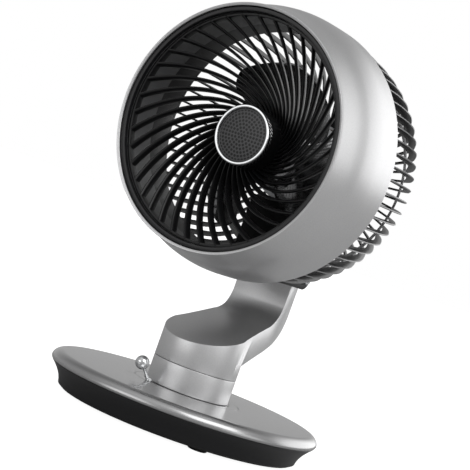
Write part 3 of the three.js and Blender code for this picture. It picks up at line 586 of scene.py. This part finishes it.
def edge_highlighted(name, colour, edge_highlight_colour, roughness):
    """A moulding whose narrow outer edges are painted lighter than its sides: a painted highlight.
    """
    made = surface(name, colour, roughness, drift=0.12, relief=0.06)
    tinted(made, used(made, EDGES).outputs["Edges"], edge_highlight_colour)
    return made


def shade_banded(name, colour, painted_shade_colour, roughness, middle, reach):
    """A ring with painted shade at both ends, further than the reach from its middle, in metres."""
    made = surface(name, colour, roughness, relief=0.04)
    band = used(made, SHADE_BANDS)
    band.inputs["Middle"].default_value = middle
    band.inputs["Reach"].default_value = reach
    tinted(made, band.outputs["Ends"], painted_shade_colour)
    return made


SATIN_SILVER = surface("satin_silver_paint", (0.70, 0.70, 0.705), 0.37, metallic=0.85, drift=0.03,
                       relief=0.04, grain=1500.0, flake=0.10, gloss_drift=0.03)
GLOSS_SILVER = surface("gloss_silver_lacquer", (0.46, 0.46, 0.464), 0.24, metallic=0.9, drift=0.03,
                       relief=0.03, grain=1500.0, flake=0.08, coat=0.4, gloss_drift=0.03)
CHROME = surface("polished_chrome", (0.78, 0.79, 0.80), 0.06, metallic=1.0, drift=0.01, relief=0.01,
                 gloss_drift=0.02)
STEEL = surface("bare_steel", (0.42, 0.43, 0.44), 0.35, metallic=1.0, drift=0.1, relief=0.1)
IRON = surface("cast_iron", (0.12, 0.125, 0.13), 0.6, metallic=0.6, drift=0.3, relief=0.5,
               grain=500.0)
BLACK = surface("black_moulding", (0.012, 0.012, 0.013), 0.38, drift=0.15, relief=0.12,
                specular=0.35)
BLACK_GLOSS = surface("black_gloss_moulding", (0.006, 0.006, 0.0065), 0.28, drift=0.1, relief=0.03,
                      gloss_drift=0.05, specular=0.35)
CHARCOAL = surface("charcoal_moulding", (0.013, 0.013, 0.014), 0.3, drift=0.12, relief=0.06)
# the fins' outward faces get a painted highlight in light grey
FIN_CHARCOAL = edge_highlighted("fin_moulding", (0.008, 0.008, 0.009), (0.3, 0.3, 0.305), 0.3)
WHEEL_GLOSS = surface("wheel_gloss_moulding", (0.3, 0.3, 0.305), 0.14, metallic=0.9, drift=0.08,
                      relief=0.02, gloss_drift=0.03)
# the duct is painted near-black as painted shade in its front gap and deep inside
DUCT_GREY = shade_banded("duct_moulding", (0.15, 0.151, 0.154), (0.006, 0.006, 0.007), 0.3,
                   middle=-0.0575, reach=0.0175)
HOOP_GREY = surface("hoop_moulding", (0.45, 0.45, 0.455), 0.36, drift=0.06, relief=0.04)
RUBBER = surface("foot_rubber", (0.015, 0.015, 0.015), 0.85, drift=0.3, relief=0.5, grain=700.0)
WINDING = surface("wound_wire", (0.42, 0.17, 0.07), 0.4, metallic=0.8, drift=0.25, relief=0.8,
                  grain=350.0)
BOARD = surface("circuit_board", (0.02, 0.16, 0.06), 0.45, drift=0.2, relief=0.2)
BRASS = surface("turned_brass", (0.55, 0.38, 0.14), 0.3, metallic=1.0, drift=0.1, relief=0.1)
LENS = surface("tinted_lens", (0.10, 0.01, 0.012), 0.08, drift=0.1, relief=0.0, coat=0.5)
HUB_DARK = perforated("perforated_hub_cover", (0.07, 0.07, 0.072), (0.001, 0.001, 0.001), 0.4)

NODE_FINISH = {
    "base_weight": IRON, "control_board": BOARD, "shaft_bush": BRASS, "swing_motor": STEEL,
    "swing_pinion": BRASS, "swivel_washer": BRASS, "swing_shaft": STEEL, "swing_gear": BLACK,
    "speed_switch": BLACK, "rotor_shaft": STEEL, "motor_core": STEEL, "front_bearing": STEEL,
    "rear_bearing": STEEL, "stator": WINDING, "motor_end_plate": STEEL, "indicator_lens": LENS,
}


def finish_kept_nodes():
    for name, material in NODE_FINISH.items():
        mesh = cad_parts[name].data
        mesh.materials.clear()
        mesh.materials.append(material)


# ---------- base ----------
def base_plate():
    """The lacquered top: a flat disc with a full round edge, grooved for the selector ring."""
    steps = 12
    edge = []
    for k in range(steps + 1):
        turn = math.radians(90 * k / steps)
        edge.append((PLATE_FLAT + (PLATE_RADIUS - PLATE_FLAT) * math.cos(turn),
                     PLATE_EDGE_LOW + (PLATE_TOP - PLATE_EDGE_LOW) * math.sin(turn)))
    disc = spun([(0, PLATE_UNDER), (PLATE_INNER, PLATE_UNDER), (PLATE_INNER, HOUSING_TOP + GAP),
                 (HOUSING_TOP_RADIUS, HOUSING_TOP + GAP), *edge, (0, PLATE_TOP)], 192, 0.25)
    below, above = PLATE_UNDER - 1, PLATE_TOP + 1
    ring_gap = 0.4
    groove = moved(spun(tube(RING_INNER - ring_gap, RING_OUTER + ring_gap, RING_LOW - GAP, above),
                        96, 0.0), y=NECK_Y)
    slot_half, slot_spare = 3.0, 11.0
    slot = tube(LEVER_CIRCLE - slot_half, LEVER_CIRCLE + slot_half, below, RING_LOW + 0.5)
    slot = moved(spun(slot, 24, 0.0, LEVER_ANGLE + LEVER_TURN[0] - slot_spare,
                      LEVER_TURN[1] - LEVER_TURN[0] + 2 * slot_spare), y=NECK_Y)
    shaft_way = moved(spun(rod(15.0, below, above), 48, 0.0), y=NECK_Y)
    lens_way = moved(spun(rod(1.7, below, above), 24, 0.0), *on_circle(51.0, -47, 0, NECK_Y))
    dash = block(46.5, 53.0, -0.45, 0.45, PLATE_TOP - 0.3, PLATE_TOP + 0.5)
    moved(turned(dash, -139, "Z"), y=NECK_Y)
    disc = cut(disc, groove, slot, together(shaft_way, lens_way, dash))
    piece("plate_top", disc, GLOSS_SILVER, "base", ["base_plate"])


def housing_radius(z):
    """The bowl flares like a bell: slowly at the foot, quickly under the plate."""
    share = (z - HOUSING_LOW) / (HOUSING_TOP - HOUSING_LOW)
    flare = HOUSING_TOP_RADIUS - HOUSING_BOTTOM_RADIUS
    return HOUSING_BOTTOM_RADIUS + flare * share ** HOUSING_FLARE


def base_housing():
    """The black bowl under the plate, with its cord inlet hole and screw holes."""
    shares = (0.1, 0.25, 0.4, 0.55, 0.7, 0.85, 1)
    levels = [HOUSING_LOW + (HOUSING_TOP - HOUSING_LOW) * share for share in shares]
    outside = [(housing_radius(z), z) for z in levels]
    inside = [(housing_radius(z) - HOUSING_WALL, z) for z in reversed(levels[1:])]
    bowl = spun([(0, HOUSING_LOW), (HOUSING_BOTTOM_RADIUS - HOUSING_WALL, HOUSING_LOW), *outside,
                 *inside, (housing_radius(FLOOR_TOP) - HOUSING_WALL, FLOOR_TOP), (0, FLOOR_TOP)],
                192, 0.6)
    inlet_way = turned(spun(rod(5.8, -15.0, 15.0), 40, 0.0), 90, "X")
    moved(inlet_way, y=HOUSING_BOTTOM_RADIUS, z=INLET_Z)
    ways = [moved(spun(rod(2.0, 1.0, 6.0), 24, 0.0), *on_circle(SCREW_CIRCLE, 90 * k))
            for k in range(4)]
    piece("base_bowl", cut(bowl, together(inlet_way, *ways)), BLACK, "base",
          ["base_housing"])


def screw(head_radius, head_height, length, radius=1.4):
    """A round-headed screw with a cross recess; its head is at the bottom."""
    body = spun([(0, 0), (head_radius * 0.8, 0), (head_radius, head_height * 0.5),
                 (head_radius, head_height), (radius, head_height), (radius, length), (0, length)],
                36, 0.25)
    long, thin = head_radius * 0.55, 0.3
    first = block(-long, long, -thin, thin, -0.2, head_height * 0.6)
    second = block(-thin, thin, -long, long, -0.2, head_height * 0.6)
    return cut(body, first, second)


def base_small_parts():
    for k in range(4):
        shape = moved(screw(3.4, 1.6, 18.0), *on_circle(SCREW_CIRCLE, 90 * k), z=0.6)
        piece(f"bowl_screw_{k + 1}", shape, STEEL, "base", [f"base_screw_{k + 1}"])
    for k in range(4):
        foot = spun([(0, 0), (7.0, 0), (8.0, 0.8), (8.0, 2.2), (0, 2.2)], 64, 0.4)
        moved(foot, *on_circle(FOOT_CIRCLE, 45 + 90 * k))
        piece(f"foot_pad_{k + 1}", foot, RUBBER, "base", [f"rubber_foot_{k + 1}"])
    socket = spun([(0, 4.0), (3.2, 4.0), (3.2, 12.0), (5.5, 12.0), (5.5, 0), (0, 0)], 48, 0.35)
    socket = moved(turned(socket, -90, "X"), y=92.5, z=INLET_Z)
    piece("cord_socket", socket, BLACK, "base", ["power_inlet"])


def neck_collar():
    inner = 17.3
    low = PLATE_TOP + GAP
    collar = spun([(inner, low), (20.9, low), (20.9, 47.9), (32.5, 47.9), (32.5, low),
                   (NECK_RADIUS, low), (NECK_RADIUS, COLLAR_TOP), (18.9, COLLAR_TOP),
                   (18.9, 50.8), (inner, 50.8)], 160, 0.45)
    piece("neck_band", moved(collar, y=NECK_Y), SATIN_SILVER, "base",
          ["neck_collar"])


# ---------- selector ----------
def selector():
    ring = spun(tube(RING_INNER, RING_OUTER, RING_LOW, PLATE_TOP), 144, 0.3)
    x, y = on_circle(LEVER_CIRCLE, LEVER_ANGLE)
    peg = moved(spun(rod(2.0, 22.0, 29.0), 24, 0.3), x, y)
    piece("selector_band", moved(together(ring, peg), y=NECK_Y), GLOSS_SILVER, "selector",
          ["selector_ring"])
    low = PLATE_TOP + GAP
    foot = spun([(0, 0), (3.0, 0), (3.0, 0.9), (2.3, 1.6), (2.0, 2.2), (0, 2.2)], 48, 0.3)
    stem = spun([(0, 1.9), (2.0, 1.9), (1.6, 4.5), (1.35, 8.0), (1.5, 12.0), (1.9, 13.4),
                 (0, 13.4)], 32, 0.3)
    ball = bmesh.new()
    bmesh.ops.create_uvsphere(ball, u_segments=48, v_segments=28, radius=BALL_RADIUS)
    moved(ball, z=BALL_HEIGHT)
    leaning = turned(turned(together(stem, ball), LEVER_LEAN, "Y"), LEVER_ANGLE, "Z")
    piece("ball_lever", moved(together(foot, leaning), x, y + NECK_Y, low), CHROME, "selector",
          ["selector_lever"])


# ---------- arm ----------
def neck_top(y):
    return 72.5 + NECK_TOP_RISE * (y + NECK_RADIUS - NECK_Y)


def bend(start, middle, end, steps=12):
    """Points on a curve from start to end that leans towards the middle one."""
    a, b, c = Vector(start), Vector(middle), Vector(end)
    shares = [k / steps for k in range(steps + 1)]
    return [tuple(a.lerp(b, share).lerp(b.lerp(c, share), share)) for share in shares]


def arm_width(y):
    share = min(1.0, max(0.0, y / ARM_TAPER_END)) ** 0.75
    return ARM_WIDE + (ARM_NARROW - ARM_WIDE) * share


def arm():
    """The S-shaped arm: a side outline crossed with a plan, on a round foot, with a barrel."""
    y, z = PIVOT
    front = -NECK_RADIUS - 3

    def under(at):
        return 59.8 + 0.404 * at

    side = [(front, ARM_LOW), (front, neck_top(front)),
            *bend((43.0, neck_top(43.0)), (58.5, neck_top(54.3)), (ARM_FRONT, 121.0)),
            (ARM_FRONT, z), (ARM_REAR, z),
            *bend((ARM_REAR, 117.0), (ARM_REAR, under(75.0)), (50.0, under(50.0))),
            (0, under(0)), (0, ARM_LOW)]
    plan = [on_circle(NECK_RADIUS, 180 + 180 * k / 60, 0, NECK_Y) for k in range(61)]
    run = [96.5 * k / 32 for k in range(33)]
    plan += [(min(NECK_RADIUS, arm_width(at)), at) for at in run]
    plan += [(-min(NECK_RADIUS, arm_width(at)), at) for at in reversed(run)]
    below = ARM_LOW - 1
    body = combined(sideways(prism(side, -40, 40)), prism(plan, below, 175.0), "INTERSECT")
    foot = moved(spun(rod(NECK_RADIUS, ARM_LOW, 65.8), 120, 0.0), y=NECK_Y)
    body = combined(body, foot, "UNION")
    barrel = turned(spun(rod(BARREL_RADIUS, -ARM_NARROW, ARM_NARROW), 64, 0.0), 90, "Y")
    body = combined(body, moved(barrel, y=y, z=z), "UNION")
    pocket = moved(spun(tube(20.0, 31.5, below, 66.0), 72, 0.0), y=NECK_Y)
    shaft_way = moved(spun(rod(14.3, below, 61.7), 48, 0.0), y=NECK_Y)
    pin_way = moved(turned(spun(rod(3.4, -28, 28), 32, 0.0), 90, "Y"), y=y, z=z)
    body = cut(body, together(pocket, shaft_way, pin_way))
    piece("arm_body", eased(body, 0.8, 3, 42.0), SATIN_SILVER, "arm_body", ["arm"])


# ---------- head mount ----------
def head_mount():
    """The yoke of the head: a bridge, a wall up to the motor and two cheeks, with its bolt."""
    y, z = PIVOT
    bridge = block(-MOUNT_REACH, MOUNT_REACH, MOUNT_FRONT, MOUNT_REAR, MOUNT_LOW, MOUNT_HIGH)
    cheek = [(CHEEK_FRONT, MOUNT_LOW), (y, z - CHEEK_ROUND)]
    cheek += [on_circle(CHEEK_ROUND, -90 + 180 * k / 24, y, z) for k in range(1, 24)]
    cheek += [(y, z + CHEEK_ROUND), (CHEEK_FRONT, z + CHEEK_ROUND)]
    wall = block(-MOUNT_REACH, MOUNT_REACH, MOUNT_REAR - MOUNT_WALL, MOUNT_REAR, MOUNT_HIGH - 1,
                 MOTOR_LOW)
    body = combined(bridge, wall, "UNION")
    body = combined(body, sideways(prism(cheek, -MOUNT_REACH, -CHEEK_INNER)), "UNION")
    body = combined(body, sideways(prism(cheek, CHEEK_INNER, MOUNT_REACH)), "UNION")
    way = turned(spun(rod(3.3, -40, 40), 32, 0.0), 90, "Y")
    body = cut(body, moved(way, y=y, z=z))
    piece("tilt_yoke", eased(body, 0.8, 3), BLACK, "head", ["head_mount"])
    seat = MOUNT_REACH + GAP
    pin = turned(spun([(0, -35.9), (4.6, -35.9), (5.5, -35.0), (5.5, -seat), (3.0, -seat),
                       (3.0, 36.3), (0, 36.3)], 48, 0.3), 90, "Y")
    piece("tilt_bolt", moved(pin, y=y, z=z), STEEL, "head", ["tilt_pin"])
    nut = turned(spun(tube(3.3, 5.5, seat, 36.3), 6, 0.3), 90, "Y")
    piece("tilt_bolt_nut", moved(nut, y=y, z=z), STEEL, "head", ["tilt_nut"], 20.0)


# ---------- shell, duct and front grille ----------
def shell():
    outer = [tuple(p) for p in smooth_line(SHELL_LINE, 8)]
    inner = [(r - SHELL_WALL, y) for r, y in reversed(outer)]
    inner[-1] = (inner[-1][0], inner[-1][1] + 0.8)
    piece("shell_skin", about_head(spun(outer + inner, 224, 0.7)), SATIN_SILVER, "head",
          ["shell"])


def duct():
    outline = [(DUCT_RADIUS, DUCT_FRONT), (97.9, DUCT_FRONT), (97.9, -76.0), (96.5, -76.0),
               (96.5, -18.0), (108.4, -18.0), (108.4, DUCT_REAR), (DUCT_RADIUS, DUCT_REAR)]
    ring = about_head(spun(outline, 224, 0.5))
    piece("duct_ring", ring, DUCT_GREY, "head", ["duct"])


def dish(radius):
    """The height along the head's axis of the ribs' middle line."""
    corners = [Vector(p) for p in ((HUB_RADIUS, -30.5), (42, -36), (58, -55), (DUCT_RADIUS, -73))]
    low, high = 0.0, 1.0
    for _ in range(30):
        t = (low + high) / 2
        a = [corners[i].lerp(corners[i + 1], t) for i in range(3)]
        b = [a[i].lerp(a[i + 1], t) for i in range(2)]
        spot = b[0].lerp(b[1], t)
        if spot.x < radius:
            low = t
        else:
            high = t
    return spot.y


def front_grille():
    """Spiral ribs with rounded edges between the hub's drum and the rim."""
    depth = RIB_DEPTH / 2
    inner = HUB_RADIUS - 0.8
    outer = RIB_RIM + 1.0

    def place(share, turn):
        radius = inner * (outer / inner) ** share
        across, deep = math.cos(turn), math.sin(turn)
        tall = depth * math.copysign(abs(deep) ** 0.9, deep)
        angle = math.radians(RIB_PHASE + RIB_SWEEP * math.log(radius / (HUB_RADIUS + 0.5)))
        angle += tall / depth * RIB_LEAN / 2 / radius
        sweep = math.radians(RIB_SWEEP)
        along = Vector((math.cos(angle), math.sin(angle), 0)) + Vector(
            (-math.sin(angle), math.cos(angle), 0)) * sweep
        side = Vector((-along.y, along.x, 0)).normalized()
        out = RIB_HALF * math.copysign(abs(across) ** 0.8, across)
        centre = Vector((radius * math.cos(angle), radius * math.sin(angle), dish(radius)))
        return centre + side * out + Vector((0, 0, tall))

    ribs = repeated(drawn_out(26, 14, place), RIB_COUNT)
    # the spiral was set out as (x, z) seen from the front, and the head's axis then runs along Y
    to_head = Matrix(((1, 0, 0, 0), (0, 0, 1, 0), (0, 1, 0, HEAD_Z), (0, 0, 0, 1)))
    bmesh.ops.transform(ribs, matrix=to_head, verts=ribs.verts)
    bmesh.ops.recalc_face_normals(ribs, faces=ribs.faces)
    rim_middle = dish(RIB_RIM)
    rim = tube(RIB_RIM, DUCT_RADIUS - GAP, rim_middle - depth, rim_middle + depth)
    rim = about_head(spun(rim, 224, 0.5))
    drum = about_head(spun([(0, HUB_FRONT), (HUB_RADIUS - 0.6, HUB_FRONT), (HUB_RADIUS, -27.0),
                            (23.0, -27.0), (22.4, -46.0), (0, -46.0)], 96, 0.5))
    piece("spiral_guard", together(ribs, rim, drum), BLACK_GLOSS, "head",
          ["front_grille"])


def hub():
    back = HUB_FRONT - GAP
    front = back - 6.0
    ring = spun([(22.0, back), (HUB_RADIUS, back), (HUB_RADIUS, front + 1), (24.2, front),
                 (22.6, front), (22.0, front + 1)], 128, 0.4)
    piece("hub_trim", about_head(ring), CHROME, "head", ["hub_ring"])
    face = front + 1.2
    cover = spun([(0, back), (21.7, back), (21.7, face + 0.6), (18.4, face), (10.9, face - 0.5),
                  (0, face - 0.8)], 128, 0.3)
    piece("hub_cover", about_head(cover), HUB_DARK, "head", ["hub_cap"])


# ---------- rotor ----------
def blade(phase):
    """One blade: broad at its root, swept back, pitched from its front edge to its rear edge."""
    root = ROTOR_HUB - 1.5

    def place(share, turn):
        along = math.cos(turn)
        out = 1 - (1 - share) ** 1.15
        widen = (1 - out) ** 0.8
        width = BLADE_WIDTHS[0] + (BLADE_WIDTHS[1] - BLADE_WIDTHS[0]) * widen
        depth = BLADE_DEPTHS[0] + (BLADE_DEPTHS[1] - BLADE_DEPTHS[0]) * widen
        angle = phase - BLADE_SWEEP * (1 - out) + width / 2 * along
        edge = 1 - 0.8 * abs(along) ** 3
        pitch = depth / 2 * math.sin(along * math.pi / 2 * 0.9)
        y = BLADE_MIDDLE - pitch + BLADE_HALF_THICKNESS * math.sin(turn) * edge
        corner = 1 - 1.1 * max(0.0, abs(along) - 0.6) ** 2 * out
        x, z = on_circle(root + (BLADE_TIP - root) * out * corner, angle)
        return Vector((x, y, z + HEAD_Z))

    return drawn_out(24, 64, place)


def rotor():
    hub_shape = about_head(spun(
        [(2.8, -18.0), (23.0, -18.0), (28.0, -15.5), (ROTOR_HUB, -10.0), (ROTOR_HUB, 26.0),
         (27.4, 26.0), (27.4, -10.0), (22.0, -15.4), (6.5, -15.4), (6.5, 6.0), (2.8, 6.0)],
        96, 0.8))
    blades = [blade(BLADE_PHASE + 120 * k) for k in range(3)]
    piece("fan_wheel", together(hub_shape, *blades), WHEEL_GLOSS, "rotor",
          ["impeller"])
    nut = about_head(spun([(0, -24.3), (5.0, -24.3), (8.0, -21.5), (8.0, -18.3), (2.8, -18.3),
                           (2.8, -21.3), (0, -21.3)], 48, 0.6))
    piece("wheel_nut", nut, BLACK, "rotor", ["spinner_nut"])


# ---------- motor ----------
def motor():
    """The motor can, with cooling slots pressed round its side."""
    rear = BACK_PLATE_FRONT - GAP
    can = spun([(5.5, MOTOR_FRONT), (34.0, MOTOR_FRONT), (MOTOR_RADIUS, MOTOR_FRONT + 4),
                (MOTOR_RADIUS, rear), (35.8, rear), (35.8, 38.7), (33.0, 36.2), (10.3, 36.2),
                (10.3, 40.3), (8.3, 40.3), (8.3, 35.0), (5.5, 35.0)], 96, 0.7)
    slots = block(33.0, 42.0, -1.3, 1.3, 45.0, 72.0)
    slots = repeated(eased(slots, 1.0, 3), 18)
    piece("motor_can", about_head(cut(can, slots)), STEEL, "head", ["motor_housing"])
    for k in range(3):
        x, z = on_circle(30.0, 90 + 120 * k)
        body = moved(turned(screw(3.4, 1.6, 8.0), 90, "X"), x, CAGE_BACK + 1.9, HEAD_Z + z)
        piece(f"cage_screw_{k + 1}", body, STEEL, "head", [f"motor_screw_{k + 1}"])


# ---------- rear cage ----------
def bulge(y):
    """The outside radius of the cage at a place along the head's axis."""
    return CAGE_RADIUS * math.sqrt(1 - ((y - CAGE_WIDEST_Y) / CAGE_HALF_LENGTH) ** 2)


def cage_lines():
    """The outer and inner lines of a fin, from the back plate to the front ring."""
    corner = bulge(74.0)
    ring = 108.5
    outer = [(44.5, 87.6), (62.0, 87.8), (78.0, 87.2), (corner - 7, 83.2), (corner, 74.0),
             (bulge(55.0), 55.0), (108.0, CAGE_WIDEST_Y), (ring, 3.0), (ring, -2.0)]
    inner = [(44.5, 83.0), (62.0, 82.4), (76.5, 81.4), (corner - 11.5, 78.2), (corner - 6.5, 71.0),
             (bulge(55.0) - 6.5, 53.5), (101.5, CAGE_WIDEST_Y), (ring - 4.2, 3.0),
             (ring - 4.2, -2.0)]
    return smooth_line(outer, 5), smooth_line(inner, 5)


def rear_cage():
    """Fins in planes through the head's axis, the back plate and the ring inside the shell."""
    outer, inner = cage_lines()
    last = len(outer) - 1

    def place(share, turn):
        spot = min(last - 1e-6, share * last)
        k = int(spot)
        a = outer[k].lerp(outer[k + 1], spot - k)
        b = inner[k].lerp(inner[k + 1], spot - k)
        deep, wide = math.cos(turn), math.sin(turn)
        centre = a.lerp(b, 0.5 - 0.5 * math.copysign(abs(deep) ** 0.9, deep))
        across = FIN_THICKNESS / 2 * math.copysign(abs(wide) ** 0.7, wide)
        return Vector((centre.x, across, centre.y))

    fin = turned(drawn_out(34, 10, place), 180 / FIN_COUNT, "Z")
    fins = about_head(repeated(fin, FIN_COUNT))
    pocket = block(-POCKET_REACH, POCKET_REACH, 3.0, 77.0, 100.0, 164.0)
    fins = cut(fins, pocket)
    plate = about_head(spun(rod(46.0, BACK_PLATE_FRONT, CAGE_BACK), 128, 1.0))
    ring = about_head(spun(tube(104.3, 108.5, -6.0, 3.0), 192, 0.8))
    piece("fin_cage", together(fins, plate, ring), FIN_CHARCOAL, "head",
          ["rear_grille"])


def cage_small_parts():
    """The hoop inside the fins, open at the top, and the cover on the back plate."""
    half_gap = 26.0
    outline = [(88.6, 65.0), (91.0, 65.0), (88.0, 71.0), (85.6, 71.0)]
    hoop = spun(outline, 120, 0.6, half_gap - 90, 360 - 2 * half_gap)
    piece("cage_band", about_head(hoop), HOOP_GREY, "head", ["cage_hoop"])
    low = CAGE_BACK + GAP
    top = low + 5.0
    cover = spun([(43.0, low), (43.0, low + 1.6), (41.6, low + 3.2), (38.0, low + 4.6),
                  (34.0, top), (33.0, low + 4.2), (31.5, low + 4.2), (30.5, top), (0, top),
                  (0, low + 3.0), (37.0, low + 3.0), (41.0, low + 1.4), (41.0, low)], 128, 0.4)
    piece("back_cover", about_head(cover), CHARCOAL, "head", ["motor_cover"])


# ---------- studio ----------
FLOOR_GLOW = 0.95  # how white the floor looks to the camera by itself


def floor():
    """A pale floor that takes the shadow, and that the camera sees nearly white."""
    shape = bmesh.new()
    bmesh.ops.create_circle(shape, cap_ends=True, segments=64, radius=30.0)
    made = block_object("floor", shape)
    material = bpy.data.materials.new("pale_floor")
    material.use_nodes = True
    nodes, links = material.node_tree.nodes, material.node_tree.links
    diffuse = nodes["Principled BSDF"]
    diffuse.inputs["Base Color"].default_value = (0.5, 0.5, 0.5, 1)
    diffuse.inputs["Roughness"].default_value = 0.9
    diffuse.inputs["Specular IOR Level"].default_value = 0.1
    glow = nodes.new("ShaderNodeEmission")
    ray = nodes.new("ShaderNodeLightPath")
    seen = maths(material.node_tree, "MULTIPLY", ray.outputs["Is Camera Ray"], FLOOR_GLOW)
    links.new(seen, glow.inputs["Strength"])
    both = nodes.new("ShaderNodeAddShader")
    links.new(diffuse.outputs[0], both.inputs[0])
    links.new(glow.outputs[0], both.inputs[1])
    links.new(both.outputs[0], nodes["Material Output"].inputs["Surface"])
    made.data.materials.append(material)


# Soft bright and dim patches of the surround that the object reflects. Each: degrees from the
# front towards +X, height in degrees, full inside this many degrees, gone outside that many,
# and strength.
SURROUND = 0.4
WINDOWS = [
    (-16, 5, 8, 30, 1.1),
    (87, 10, 6, 24, 0.6),
    (160, 8, 22, 42, 1.25),
    (-165, 0, 20, 60, 0.15),
    (-150, 55, 20, 60, -0.2),
    (30, 70, 10, 60, 0.3),
]


def backdrop():
    """A white surround that the camera sees, and a graded one that lights the object."""
    world = bpy.data.worlds.new("studio")
    bpy.context.scene.world = world
    world.use_nodes = True
    tree = world.node_tree
    nodes, links = tree.nodes, tree.links
    light = nodes["Background"]
    place = nodes.new("ShaderNodeTexCoord")
    total = SURROUND
    for turn, height, inner, outer, strength in WINDOWS:
        flat = math.cos(math.radians(height))
        aim = Vector((flat * math.sin(math.radians(turn)), -flat * math.cos(math.radians(turn)),
                      math.sin(math.radians(height))))
        dot = nodes.new("ShaderNodeVectorMath")
        dot.operation = "DOT_PRODUCT"
        dot.inputs[1].default_value = aim
        links.new(place.outputs["Generated"], dot.inputs[0])
        spread = nodes.new("ShaderNodeMapRange")
        spread.interpolation_type = "SMOOTHSTEP"
        spread.inputs["From Min"].default_value = math.cos(math.radians(outer))
        spread.inputs["From Max"].default_value = math.cos(math.radians(inner))
        spread.inputs["To Max"].default_value = strength
        links.new(dot.outputs["Value"], spread.inputs["Value"])
        total = maths(tree, "ADD", spread.outputs["Result"], total)
    links.new(total, light.inputs["Strength"])
    light.inputs["Color"].default_value = (1, 1, 1, 1)
    white = nodes.new("ShaderNodeBackground")
    ray = nodes.new("ShaderNodeLightPath")
    either = maths(tree, "MAXIMUM", ray.outputs["Is Camera Ray"],
                   ray.outputs["Is Transmission Ray"])
    mix = nodes.new("ShaderNodeMixShader")
    white.inputs["Color"].default_value = (1, 1, 1, 1)
    links.new(either, mix.inputs["Fac"])
    links.new(light.outputs[0], mix.inputs[1])
    links.new(white.outputs[0], mix.inputs[2])
    links.new(mix.outputs[0], nodes["World Output"].inputs["Surface"])


def lamp(name, place, aim, size, power):
    data = bpy.data.lights.new(name, "AREA")
    data.shape = "SQUARE"
    data.size = size
    data.energy = power
    made = bpy.data.objects.new(name, data)
    bpy.context.scene.collection.objects.link(made)
    made.location = place
    made.rotation_euler = (Vector(aim) - Vector(place)).to_track_quat("-Z", "Y").to_euler()


def camera():
    """The photograph's view, as a fitted camera gives it, in metres."""
    data = bpy.data.cameras.new("view")
    data.sensor_width = 36.0
    data.lens = 121.014
    made = bpy.data.objects.new("view", data)
    bpy.context.scene.collection.objects.link(made)
    right = Vector((0.80754498, 0.48543078, 0.33500457))
    up = Vector((-0.29155209, -0.16520106, 0.9421815))
    back = Vector((0.51270701, -0.85852523, 0.00812107))
    place = Vector((0.66132086, -1.11918717, 0.17563189))
    made.matrix_world = Matrix((
        (right.x, up.x, back.x, place.x), (right.y, up.y, back.y, place.y),
        (right.z, up.z, back.z, place.z), (0, 0, 0, 1)))
    bpy.context.scene.camera = made


camera()
backdrop()
floor()
lamp("key_box", (0.9, -0.5, 0.95), (0, 0, 0.2), 1.0, 6.0)
bpy.context.scene.view_settings.view_transform = "Standard"

finish_kept_nodes()
base_plate()
base_housing()
base_small_parts()
neck_collar()
selector()
arm()
head_mount()
shell()
duct()
front_grille()
hub()
rotor()
motor()
rear_cage()
cage_small_parts()
